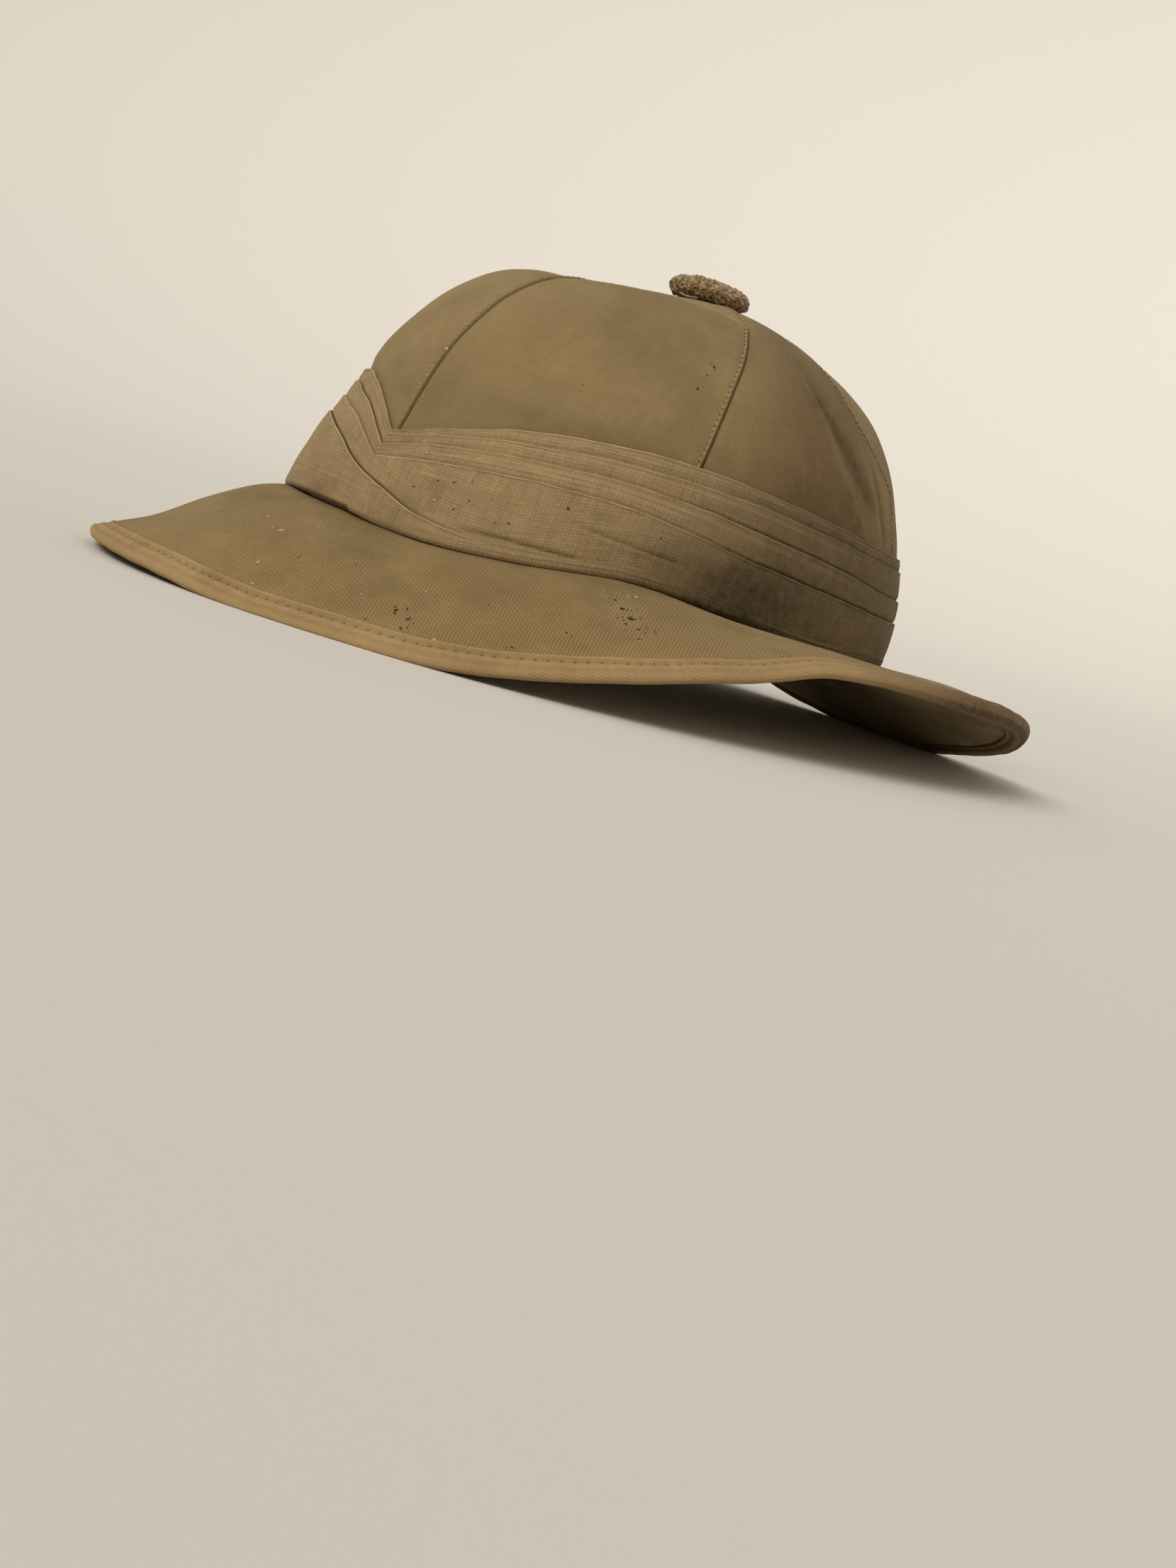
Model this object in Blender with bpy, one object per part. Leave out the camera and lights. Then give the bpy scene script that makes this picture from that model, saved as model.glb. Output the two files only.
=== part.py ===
"""Pith helmet with a wound, pleated band, a broad bound brim and a wool-covered top button.

Metres, +Z up. The helmet rests on z = 0 by itself, its front towards -Y and the wearer's left towards +X.
Azimuth 0 is the front and 90 the left side. A level is a height along the crown's own axis, from its base.
"""

import math

import bmesh
import bpy
from mathutils import Matrix, Vector

# Overall plan and rest
HAT_LENGTH = 0.353
HAT_WIDTH = 0.299
RIM_LIFT = 0.030            # how far the rim's highest stretch rises over its resting one
FLATTENED = 0.0008          # how far the bound edge is pressed flat where it rests

# Crown
CROWN_LENGTH = 0.225
CROWN_WIDTH = 0.1885
CROWN_HEIGHT = 0.1056
CROWN_BASE = 0.0337         # height of the crown's base over the floor, at its middle
CROWN_LEAN = math.radians(1.9)
TOP_SHIFT = 0.012           # the crown's top lies this far behind the middle of its base
TOP_POWER = 1.84            # how soon the wall turns in
SHOULDER_POWER = 3.2        # how full the shoulder is, on average
SHOULDER_SWING = 0.9        # how much fuller it is in front than behind
TOP_DIP = 0.0028            # the flattened place between the front shoulder and the button
TOP_DIP_REACH = 0.030
TOP_DIP_SIDE = -0.008
TOP_DIP_FRONT = 0.028
SEAM_TURN = 24              # degrees: the cloth's first seam, left of the front

# Walls
CLOTH = 0.0010
GAP = 0.0003
SHELL_WALL = 0.0050
BRIM_CORE_ROOT = 0.0050
BRIM_CORE_EDGE = 0.0010

# Brim
ROOT_WAVE = 0.0033          # the brim's root is higher at the sides than in front and behind
ROOT_TIP = 0.0014           # and lower in front than behind
BRIM_ARCH = 0.0045          # how far the brim bulges over a straight line in front; behind it is straight

# Edge binding
BINDING_CLOTH = 0.0012
BINDING_WIDTH = 0.0065

# Wound band
BAND_HEIGHT = 0.045
BAND_TOP_CLOTH = 0.0012     # thickness at the band's top, one fold of cloth
PLEAT_LAYER = 0.0005        # what each pleat lower down adds
PLEAT_SINK = 0.0003         # how far a pleat sinks in before the next one's edge
FOLD_EDGE = 0.0006          # height over which one pleat's edge steps out from the next
LEAST_PLEAT = 0.0012

# Button
BUTTON_RADIUS = 0.0150
BUTTON_HEIGHT = 0.0090

# Facets
COLUMNS = 60
GORES = 6
BRIM_MIDDLE = 0.45          # share of the brim's width at which its section has a row of its own
DOME_CLIMBS = (8, 20, 32, 44, 56, 67, 77, 85)
GORE_TIP_CLIMB = 88

SKIN = CLOTH + GAP
SEAT = CLOTH + 3 * GAP      # how far cloth on the crown ends above the brim's root

# Rim heights: azimuth in degrees, share of RIM_LIFT. The back is warped: its left is higher than its right.
RIM_TABLE = (
    # azimuth, lift
    (36, 0.00),
    (54, 0.00),
    (63, 0.09),
    (75, 0.35),
    (90, 0.72),
    (99, 0.97),
    (107, 1.00),
    (120, 0.965),
    (135, 0.88),
    (150, 0.66),
    (180, 0.13),
    (192, 0.00),
    (204, 0.00),
    (213, 0.09),
    (240, 0.76),
    (270, 0.70),
    (297, 0.09),
    (306, 0.00),
    (324, 0.00),
    (345, 0.10),
    (360, 0.12),
    (375, 0.10),
)

# Fold lines of the band, from where they meet in a V at the left of the front, all the way round.
# Azimuth in degrees, then shares of BAND_HEIGHT.
FOLD_TABLE = (
    # azimuth, wrap, fold_3, fold_2, fold_1, top
    (24, 0.26, 0.40, 0.495, 0.575, 0.61),
    (36, 0.10, 0.45, 0.58, 0.655, 0.71),
    (48, 0.03, 0.53, 0.665, 0.765, 0.86),
    (60, 0.02, 0.575, 0.715, 0.83, 0.955),
    (75, 0.02, 0.56, 0.745, 0.885, 1.0),
    (90, 0.02, 0.50, 0.71, 0.885, 0.995),
    (114, 0.02, 0.42, 0.64, 0.83, 0.94),
    (135, 0.02, 0.38, 0.56, 0.78, 0.885),
    (180, 0.03, 0.36, 0.54, 0.77, 0.87),
    (225, 0.16, 0.41, 0.62, 0.82, 0.93),
    (270, 0.31, 0.55, 0.76, 0.92, 1.03),
    (300, 0.49, 0.69, 0.87, 0.98, 1.07),
    (336, 0.71, 0.87, 1.00, 1.05, 1.10),
    (360, 0.62, 0.81, 0.96, 1.04, 1.08),
    (372, 0.44, 0.64, 0.78, 0.86, 0.90),
)

# Colours, linear RGB
KHAKI_CROWN = (0.242, 0.162, 0.070)
KHAKI_BRIM = (0.262, 0.168, 0.070)
KHAKI_LINING = (0.200, 0.130, 0.060)
KHAKI_BAND = (0.205, 0.136, 0.070)
PALE_TAPE = (0.434, 0.283, 0.122)
WOOL = (0.283, 0.188, 0.102)
PITH = (0.55, 0.42, 0.26)


def smooth_round(table, column, azimuth):
    """Read one column of a table at an azimuth, smoothly and with no overshoot, round the whole turn."""
    start = table[0][0]
    azimuth = start + (azimuth - start) % 360
    rows = [(row[0], row[column]) for row in table] + [(start + 360, table[0][column])]
    spans = [b[0] - a[0] for a, b in zip(rows, rows[1:])]
    rises = [(b[1] - a[1]) / span for a, b, span in zip(rows, rows[1:], spans)]
    slopes = [rises[0]]
    for before, after in zip(rises, rises[1:]):
        slopes.append(2 * before * after / (before + after) if before * after > 0 else 0.0)
    slopes.append(rises[-1])
    for place, span in enumerate(spans):
        if azimuth <= rows[place + 1][0]:
            break
    along = (azimuth - rows[place][0]) / span
    low, high = rows[place][1], rows[place + 1][1]
    ease = along * along * (3 - 2 * along)
    pull = slopes[place] * along * (1 - along) ** 2 - slopes[place + 1] * along ** 2 * (1 - along)
    return low + (high - low) * ease + span * pull


def crown_to_world():
    """The crown's own frame, leaning back a little over the floor."""
    return Matrix.Translation((0, 0, CROWN_BASE)) @ Matrix.Rotation(-CROWN_LEAN, 4, "X")


def dome(azimuth, climb):
    """Point of the crown's outer cloth, in the crown's frame. Climb runs from 0 at the base to 90 at the top."""
    turn, rise = math.radians(azimuth), math.radians(climb)
    fullness = SHOULDER_POWER + SHOULDER_SWING * math.cos(turn)
    width = max(math.cos(rise), 0.0) ** (2 / fullness)
    height = math.sin(rise) ** (2 / TOP_POWER)
    x = CROWN_WIDTH / 2 * width * math.sin(turn)
    y = TOP_SHIFT * height - CROWN_LENGTH / 2 * width * math.cos(turn)
    away = math.hypot(x - TOP_DIP_SIDE, y + TOP_DIP_FRONT) / TOP_DIP_REACH
    return Vector((x, y, CROWN_HEIGHT * height - TOP_DIP * math.exp(-away * away) * height))


def dome_normal(azimuth, climb):
    """Outward direction of the crown's surface."""
    if climb > 89.9:
        return Vector((0, 0, 1))
    step = 0.02
    low = max(climb - step, 0.0)
    round_way = dome(azimuth + step, climb) - dome(azimuth - step, climb)
    up_way = dome(azimuth, climb + step) - dome(azimuth, low)
    return round_way.cross(up_way).normalized()


def climb_at(level):
    """Climb of a level along the crown's axis."""
    if level <= 0:
        return 0.0
    return math.degrees(math.asin(min(level / CROWN_HEIGHT, 1.0) ** (TOP_POWER / 2)))


def level_at(climb):
    """Level along the crown's axis of a climb."""
    return CROWN_HEIGHT * math.sin(math.radians(climb)) ** (2 / TOP_POWER)


def crown_point(azimuth, level, out):
    """World point at a level, moved out from the crown's outer cloth. Below the base the wall runs straight."""
    climb = climb_at(level)
    spot = dome(azimuth, climb) + dome_normal(azimuth, climb) * out
    spot.z += min(level, 0.0)
    return crown_to_world() @ spot


def root_level(azimuth):
    """Level of the brim's root on the crown's wall."""
    turn = math.radians(azimuth)
    return -ROOT_WAVE * math.cos(2 * turn) - ROOT_TIP * math.cos(turn)


def binding_nose():
    """The bound edge across the rim, outside: pairs of (along the brim, up from its middle)."""
    outer = BRIM_CORE_EDGE / 2 + GAP + BINDING_CLOTH
    nose = GAP + BINDING_CLOTH
    return [
        (0, outer), (0.8 * nose, 0.8 * outer), (nose, 0.3 * outer),
        (nose, -0.3 * outer), (0.8 * nose, -0.8 * outer), (0, -outer),
    ]


class BrimLine:
    """The brim's section at one azimuth: its root, its edge, and the directions along it and up from it."""

    def __init__(self, azimuth):
        turn = math.radians(azimuth)
        nose = binding_nose()
        half_edge = nose[0][1]
        rim_height = half_edge - FLATTENED + RIM_LIFT * smooth_round(RIM_TABLE, 1, azimuth)
        rim = Vector((HAT_WIDTH / 2 * math.sin(turn), -HAT_LENGTH / 2 * math.cos(turn), rim_height))
        self.root_top = crown_point(azimuth, root_level(azimuth), -SKIN)
        run = Vector((rim.x - self.root_top.x, rim.y - self.root_top.y, 0))
        self.slope = math.atan2(rim.z - self.root_top.z + BRIM_CORE_ROOT / 2, run.length)
        self.radial = run.normalized()
        self.along = self.radial * math.cos(self.slope) + Vector((0, 0, math.sin(self.slope)))
        self.up = Vector((0, 0, math.cos(self.slope))) - self.radial * math.sin(self.slope)
        reach = max(x * math.cos(self.slope) - y * math.sin(self.slope) for x, y in nose)
        self.edge = rim - self.radial * reach
        self.root = self.root_top - self.up * BRIM_CORE_ROOT / 2
        self.inner_foot = crown_point(azimuth, root_level(azimuth) - BRIM_CORE_ROOT, -SKIN - SHELL_WALL)
        width = (self.edge - self.root).length
        self.leg = 1 - BINDING_WIDTH / width
        self.cloth_end = self.leg - GAP / width
        self.shares = (BRIM_MIDDLE, self.leg, 1.0)
        self.arch = BRIM_ARCH * (1 + math.cos(turn)) / 2
        self.root_fall = math.tan(self.slope) + 4 * self.arch / width

    def surface(self, share, side, clearance):
        """Point over (side 1) or under (side -1) the pith core, clear of it by a distance."""
        half = (BRIM_CORE_ROOT + (BRIM_CORE_EDGE - BRIM_CORE_ROOT) * share) / 2
        arch = self.arch * 4 * share * (1 - share)
        return self.root.lerp(self.edge, share) + self.up * (arch + side * (half + clearance))

    def bound_edge(self):
        """Closed section of the binding, pressed flat where it would reach below the floor."""
        leg = self.leg
        outside = [self.surface(leg, 1, GAP + BINDING_CLOTH)]
        outside += [self.edge + self.along * x + self.up * y for x, y in binding_nose()]
        outside.append(self.surface(leg, -1, GAP + BINDING_CLOTH))
        corner = self.along * GAP
        inside = [
            self.surface(leg, -1, GAP), self.surface(1, -1, GAP) + corner,
            self.surface(1, 1, GAP) + corner, self.surface(leg, 1, GAP),
        ]
        for spot in outside:
            spot.z = max(spot.z, 0.0)
        return outside + inside


def azimuths():
    return [360 * column / COLUMNS for column in range(COLUMNS)]


def cloth_material(name, colour, roughness):
    material = bpy.data.materials.new(name)
    material.use_nodes = True
    shader = material.node_tree.nodes["Principled BSDF"]
    shader.inputs["Base Color"].default_value = (*colour, 1)
    shader.inputs["Roughness"].default_value = roughness
    shader.inputs["Metallic"].default_value = 0
    return material


def add_object(name, shape, colour, roughness, collection):
    """Turn a bmesh into a named object with its own material."""
    bmesh.ops.remove_doubles(shape, verts=shape.verts, dist=1e-7)
    bmesh.ops.recalc_face_normals(shape, faces=shape.faces)
    mesh = bpy.data.meshes.new(name)
    shape.to_mesh(mesh)
    shape.free()
    mesh.shade_smooth()
    mesh.set_sharp_from_angle(angle=math.radians(40))
    mesh.materials.append(cloth_material(name, colour, roughness))
    thing = bpy.data.objects.new(name, mesh)
    collection.objects.link(thing)
    return thing


def loft(sections, whole_round, closed_section=True):
    """Skin a row of unlike sections. An open row of closed sections is capped at both ends.

    Each facet pair is split from its lower end in one section to its upper end in the next, so that the
    layers of cloth and pith, which share their rows, keep one even gap.
    """
    top = crown_point(0, CROWN_HEIGHT, 0)
    shape = bmesh.new()
    rows = [[shape.verts.new(point) for point in section] for section in sections]
    pairs = list(zip(rows, rows[1:]))
    if whole_round:
        pairs.append((rows[-1], rows[0]))
    for here, there in pairs:
        steps = range(len(here)) if closed_section else range(len(here) - 1)
        for step in steps:
            after = (step + 1) % len(here)
            low, high = here[step], here[after]
            next_low, next_high = there[step], there[after]
            if (low.co - top).length > (high.co - top).length:
                shape.faces.new((low, high, next_high))
                shape.faces.new((low, next_high, next_low))
            else:
                shape.faces.new((low, high, next_low))
                shape.faces.new((high, next_high, next_low))
    if not whole_round:
        for row in (rows[0], rows[-1]):
            half = len(row) // 2
            for step in range(half - 1):
                shape.faces.new((row[step], row[step + 1], row[-2 - step], row[-1 - step]))
    return shape


def pith_shell(collection):
    """Crown and brim core in one hollow body, open below."""
    levels = [level_at(climb) for climb in DOME_CLIMBS]
    sections = []
    for azimuth in azimuths():
        brim = BrimLine(azimuth)
        outer = [crown_point(azimuth, level, -SKIN) for level in (*levels, CROWN_HEIGHT)]
        inner = [crown_point(azimuth, level, -SKIN - SHELL_WALL) for level in (*levels, CROWN_HEIGHT)]
        above = [brim.root_top] + [brim.surface(share, 1, 0) for share in brim.shares]
        below = [brim.surface(share, -1, 0) for share in reversed(brim.shares)] + [brim.inner_foot]
        sections.append(outer[::-1] + above + below + inner)
    shape = loft(sections, whole_round=True, closed_section=False)
    add_object("pith_shell", shape, PITH, 0.9, collection)


def gore(name, first_azimuth, collection):
    """One of the crown's cloth panels, from just above the brim to under the button."""
    columns = COLUMNS // GORES
    sections = []
    for column in range(columns + 1):
        azimuth = first_azimuth + 360 / COLUMNS * column
        side = {0: 1, columns: -1}.get(column, 0)
        foot = root_level(azimuth) + SEAT
        levels = [foot] + [level_at(climb) for climb in (*DOME_CLIMBS, GORE_TIP_CLIMB)]
        outer, inner = [], []
        for level in levels:
            radius = CROWN_WIDTH / 2 * dome(90, climb_at(level)).x / dome(90, 0).x
            eased = azimuth + side * math.degrees(GAP / 2 / radius)
            outer.append(crown_point(eased, level, 0))
            inner.append(crown_point(eased, level, -CLOTH))
        sections.append(outer + inner[::-1])
    add_object(name, loft(sections, whole_round=False), KHAKI_CROWN, 0.9, collection)


def brim_skin(name, side, colour, collection):
    """Cloth over (side 1) or under (side -1) the brim's core, up to the binding."""
    sections = []
    for azimuth in azimuths():
        brim = BrimLine(azimuth)
        near, far = [], []
        for share in (0, BRIM_MIDDLE, brim.cloth_end):
            if share == 0 and side < 0:
                near.append(brim.inner_foot - brim.up * GAP)
                far.append(brim.inner_foot - brim.up * SKIN)
                continue
            share = max(share, GAP / (brim.edge - brim.root).length)
            near.append(brim.surface(share, side, GAP))
            far.append(brim.surface(share, side, SKIN))
        sections.append(near + far[::-1])
    add_object(name, loft(sections, whole_round=True), colour, 0.9, collection)


def edge_binding(collection):
    """Tape folded round the rim, with real flats where the helmet rests."""
    sections = [BrimLine(azimuth).bound_edge() for azimuth in azimuths()]
    add_object("edge_binding", loft(sections, whole_round=True), PALE_TAPE, 0.85, collection)


def fold_levels(azimuth):
    """Levels of the band's foot, fold lines and top, each a little over the one before."""
    levels = [root_level(azimuth) + SEAT]
    for column in range(1, 6):
        level = BAND_HEIGHT * smooth_round(FOLD_TABLE, column, azimuth)
        levels.append(max(level, levels[-1] + LEAST_PLEAT))
    return levels


def pugaree(collection):
    """The wound band. Each pleat's upper edge lies over the foot of the pleat above it."""
    sections = []
    for azimuth in azimuths():
        brim = BrimLine(azimuth)
        foot, *folds, top = fold_levels(azimuth)
        out = GAP + BAND_TOP_CLOTH + PLEAT_LAYER * len(folds)
        dip = out * brim.root_fall
        outer = [(foot + dip, out - FOLD_EDGE), (foot + dip + FOLD_EDGE, out)]
        for fold in folds:
            outer.append((fold - FOLD_EDGE / 2, out))
            out -= PLEAT_LAYER
            outer.append((fold + FOLD_EDGE / 2, out - PLEAT_SINK))
        outer.append((top, out))
        rows = [min(level_at(climb), top - LEAST_PLEAT) for climb in DOME_CLIMBS[:2]]
        inner = [(level, GAP) for level in (top, *rows[::-1], foot)]
        sections.append([crown_point(azimuth, level, out) for level, out in outer + inner])
    add_object("pugaree", loft(sections, whole_round=True), KHAKI_BAND, 0.9, collection)


def top_button(collection):
    """Flat-bottomed round button over the meeting of the gores."""
    shape = bmesh.new()
    bmesh.ops.create_uvsphere(shape, u_segments=20, v_segments=10, radius=1.0)
    floor = -0.75
    for vert in shape.verts:
        vert.co.z = max(vert.co.z, floor)
    rise = BUTTON_HEIGHT / (1 - floor)
    seat = CROWN_HEIGHT + GAP - floor * rise
    place = Matrix.Translation((0, TOP_SHIFT, seat)) @ Matrix.Diagonal((BUTTON_RADIUS, BUTTON_RADIUS, rise, 1))
    bmesh.ops.transform(shape, matrix=crown_to_world() @ place, verts=shape.verts)
    add_object("top_button", shape, WOOL, 0.95, collection)


def clear_scene():
    for thing in list(bpy.data.objects):
        bpy.data.objects.remove(thing, do_unlink=True)


def main():
    clear_scene()
    helmet = bpy.data.collections.new("Pith helmet")
    bpy.context.scene.collection.children.link(helmet)
    pith_shell(helmet)
    names = ("left_front", "left_back", "back", "right_back", "right_front", "front")
    for place, name in enumerate(names):
        gore("crown_gore_" + name, SEAM_TURN + place * 360 / GORES, helmet)
    brim_skin("brim_cover", 1, KHAKI_BRIM, helmet)
    brim_skin("brim_lining", -1, KHAKI_LINING, helmet)
    edge_binding(helmet)
    pugaree(helmet)
    top_button(helmet)


main()
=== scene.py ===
"""A cloth-covered pith helmet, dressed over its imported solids. Metres, +Z up, its front towards -Y."""

import math
import random

import bpy
import numpy as np
from mathutils import Matrix, Vector, noise


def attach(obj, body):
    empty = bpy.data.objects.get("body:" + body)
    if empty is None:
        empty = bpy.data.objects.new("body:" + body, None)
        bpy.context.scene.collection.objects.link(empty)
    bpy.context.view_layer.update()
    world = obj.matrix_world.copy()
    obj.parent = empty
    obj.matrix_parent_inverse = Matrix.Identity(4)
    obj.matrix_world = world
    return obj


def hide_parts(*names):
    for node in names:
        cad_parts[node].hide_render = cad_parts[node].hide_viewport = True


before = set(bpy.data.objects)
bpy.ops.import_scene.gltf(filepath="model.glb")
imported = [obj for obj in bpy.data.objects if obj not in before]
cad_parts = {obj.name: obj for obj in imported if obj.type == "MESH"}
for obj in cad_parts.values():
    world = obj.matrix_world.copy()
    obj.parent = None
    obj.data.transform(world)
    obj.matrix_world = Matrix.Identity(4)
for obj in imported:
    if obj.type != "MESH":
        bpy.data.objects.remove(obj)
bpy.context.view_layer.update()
bpy.ops.object.select_all(action="DESELECT")


# Crown cloth. Six gores of thin khaki cotton, sewn edge to edge and drawn tight over the pith crown.
# Each seam is lapped: the gore nearer the front is turned under and lies over the next one.
# The gores are stretched sheets, so they show soft pulls and a crease, but no loose folds.
CROWN_LENGTH = 0.225
CROWN_WIDTH = 0.1885
CROWN_HEIGHT = 0.1056
CROWN_BASE = 0.0337
SHOULDER = 0.06
CROWN_LEAN = math.radians(1.9)
TOP_SHIFT = 0.012
TOP_POWER = 1.84
SHOULDER_POWER = 3.2
SHOULDER_SWING = 0.9
CLOTH = 0.0010
GAP = 0.0003
SKIN = CLOTH + GAP
SEAM_TURN = 24
# How far each visible seam wanders from its meridian: level in mm, degrees
SEAM_BENDS = {
    24: ((0, 0.6), (34, 0.7), (61, -0.9), (81, -0.8), (94, 0.2), (106, 0)),
    84: ((0, -2.6), (46, -2.2), (63, -1.2), (74, -0.3), (85, 1.2), (97, 2.4), (104, 1)),
    144: ((0, -2.4), (43, -2.2), (54, -1.6), (60, -3), (68, -9.5), (77, -16.5), (83, -19.5),
          (90, -21), (96, -20), (101, -12), (104, -4)),
}
# How far the band presses the crown in at the front right: level in mm, mm
PRESSED_IN = ((0, 0), (10, 0.6), (16, 1.2), (26, 2.0), (32, 3.0), (40, 3.2), (46, 2.6), (52, 0.6),
              (58, 0))


def dome(azimuth, climb):
    """Points of the crown's outer cloth in the crown's frame, at azimuths and climbs in degrees."""
    turn, rise = np.radians(azimuth), np.radians(climb)
    fullness = SHOULDER_POWER + SHOULDER_SWING * np.cos(turn)
    width = np.clip(np.cos(rise), 0, None) ** (2 / fullness)
    height = np.clip(np.sin(rise), 0, None) ** (2 / TOP_POWER)
    x = CROWN_WIDTH / 2 * width * np.sin(turn)
    y = TOP_SHIFT * height - CROWN_LENGTH / 2 * width * np.cos(turn)
    # Two shallow dishes worn into the top, in front of the button
    far = ((x + 0.008) ** 2 + (y + 0.028) ** 2) / 0.030 ** 2
    near = ((x - 0.015) ** 2 + (y + 0.028) ** 2) / 0.024 ** 2
    dished = 0.0028 * np.exp(-far) + 0.0037 * np.exp(-near)
    return np.stack([x, y, (CROWN_HEIGHT - dished) * height], -1)


def climb_at(level):
    """Climb in degrees at a level up the crown."""
    share = np.clip(np.asarray(level, float) / CROWN_HEIGHT, 0, 1)
    return np.degrees(np.arcsin(share ** (TOP_POWER / 2)))


def row_levels(foot, low_rows, high_rows, last_climb):
    """Levels of a sheet's rows: even up to the shoulder, then by even steps of climb to the top."""
    climbs = np.radians(np.linspace(float(climb_at(SHOULDER)), last_climb, high_rows))
    low = np.linspace(foot, SHOULDER, low_rows + 1)[:-1]
    return np.concatenate([low, CROWN_HEIGHT * np.sin(climbs) ** (2 / TOP_POWER)])


def to_world(points):
    """From the crown's own leaning frame to the world."""
    lean, sway = math.cos(CROWN_LEAN), math.sin(CROWN_LEAN)
    x, y, z = points[..., 0], points[..., 1], points[..., 2]
    return np.stack([x, y * lean + z * sway, z * lean - y * sway + CROWN_BASE], -1)


def smooth(low, high, value):
    """A share that eases from 0 at low to 1 at high."""
    share = np.clip((np.asarray(value, float) - low) / (high - low), 0, 1)
    return share * share * (3 - 2 * share)


def bump_at(value, middle, half):
    """A smooth hump of height 1 round a middle."""
    return np.exp(-(((np.asarray(value, float) - middle) / half) ** 2))


def worn_form(azimuth, level):
    """How far the worn crown strays out: pressed in at the front, fuller at the back."""
    front = (azimuth + 192) % 360 - 180
    back = azimuth % 360 - 158
    pressed = np.interp(level * 1000, *zip(*PRESSED_IN)) / 1000 * bump_at(front, 0, 24)
    fuller = 0.0018 * bump_at(level, 0.076, 0.019) * bump_at(back, 0, 28)
    flatter = 0.0010 * bump_at(level, 0.098, 0.008) * bump_at(back, -26, 22)
    return fuller - pressed - flatter


def crown_points(azimuth, level, out):
    """World points at levels up the crown, moved out from its cloth.

    Below the crown's base the wall runs straight down.
    """
    azimuth, level, out = np.broadcast_arrays(azimuth, level, out)
    azimuth, level = azimuth.astype(float), level.astype(float)
    climb = np.minimum(climb_at(level), 89.95)
    step = 0.05
    spot = dome(azimuth, climb)
    low = np.maximum(climb - step, 0.0)
    across = dome(azimuth + step, climb) - dome(azimuth - step, climb)
    upward = dome(azimuth, np.minimum(climb + step, 89.99)) - dome(azimuth, low)
    normal = np.cross(across, upward)
    normal /= np.maximum(np.linalg.norm(normal, axis=-1, keepdims=True), 1e-12)
    spot = spot + normal * (out + worn_form(azimuth, level))[..., None]
    spot[..., 2] += np.minimum(level, 0.0)
    return to_world(spot)


# How far the band's seat on the warped brim strays from a plain wave: azimuth, mm
SEAT_TABLE = ((0, 3.2), (12, 2.0), (24, 0.3), (33, -1.3), (42, -2.8), (52, -2.7), (64, -1.3),
              (72, 0.5), (79, 1.3), (84, 0.1), (90, -1.3), (96, -2.7), (102, -3.7), (110, -4.4),
              (115, -4.3), (121, -3.6), (132, -1.9), (146, 0), (315, 0), (330, 1.2), (345, 3.0), (360, 3.2))


def root_level(azimuth):
    """Level of the brim's root on the crown, its table eased over 4 degrees to each side."""
    turn = np.radians(azimuth)
    at = np.asarray(azimuth, float)
    stray = sum(np.interp((at + step) % 360, *zip(*SEAT_TABLE)) for step in (-4, 0, 4)) / 3000
    return -0.0033 * np.cos(2 * turn) - 0.0014 * np.cos(turn) + stray


def ripple(points, size, seed=0.0):
    """Smooth noise from -1 to 1 at each point, with forms about as large as size."""
    flat = np.asarray(points, float).reshape(-1, 3) / size + seed
    found = np.array([noise.noise(Vector(spot)) for spot in flat])
    return found.reshape(np.shape(points)[:-1])


def cloth_sheet(name, points, cut, marks, ring=False, thick=0.0):
    """A cloth mesh on a grid of world points [row, column, 3], with its flat cut in metres as a UV map.

    marks are shares for each vertex that the cloth's finish reads: a pale mark (rubbed wear and painted
    highlight) and a dark mark (dirt and painted shade).
    A grid primitive is added, laid on the points and, for a ring, its two ends are sewn together.
    """
    rows, columns = points.shape[:2]
    bpy.ops.object.select_all(action="DESELECT")
    bpy.ops.mesh.primitive_grid_add(x_subdivisions=columns - 1, y_subdivisions=rows - 1, size=1)
    piece = bpy.context.active_object
    piece.name = piece.data.name = name
    mesh = piece.data
    place = np.zeros(rows * columns * 3)
    mesh.vertices.foreach_get("co", place)
    place = place.reshape(-1, 3)
    column = np.rint((place[:, 0] + 0.5) * (columns - 1)).astype(int)
    row = np.rint((place[:, 1] + 0.5) * (rows - 1)).astype(int)
    mesh.vertices.foreach_set("co", points[row, column].ravel())
    loops = np.zeros(len(mesh.loops), int)
    mesh.loops.foreach_get("vertex_index", loops)
    mesh.uv_layers[0].name = "cut"
    mesh.uv_layers[0].data.foreach_set("uv", cut[row, column][loops].ravel())
    for mark, shares in marks.items():
        layer = mesh.attributes.new(mark, "FLOAT", "POINT")
        layer.data.foreach_set("value", shares[row, column].astype(np.float32))
    mesh.update()
    if ring:
        bpy.ops.object.mode_set(mode="EDIT")
        bpy.ops.mesh.select_all(action="SELECT")
        bpy.ops.mesh.remove_doubles(threshold=1e-6)
        bpy.ops.object.mode_set(mode="OBJECT")
    if thick:
        wall = piece.modifiers.new("Wall", "SOLIDIFY")
        wall.thickness = thick
        wall.offset = -1
        bpy.ops.object.modifier_apply(modifier="Wall")
    bpy.ops.object.shade_smooth()
    return piece


def seam_azimuth(seam, level):
    """Azimuth of a seam at levels up the crown."""
    table = SEAM_BENDS.get(seam, ((0, 0), (106, 0)))
    mm, degrees = zip(*table)
    return seam + np.interp(np.asarray(level) * 1000, mm, degrees)


GORE_NAMES = ("left_front", "left_back", "back", "right_back", "right_front", "front")
COARSER_GORES = ("back", "right_back", "right_front")
GORE_FOOT = 0.0045
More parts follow.
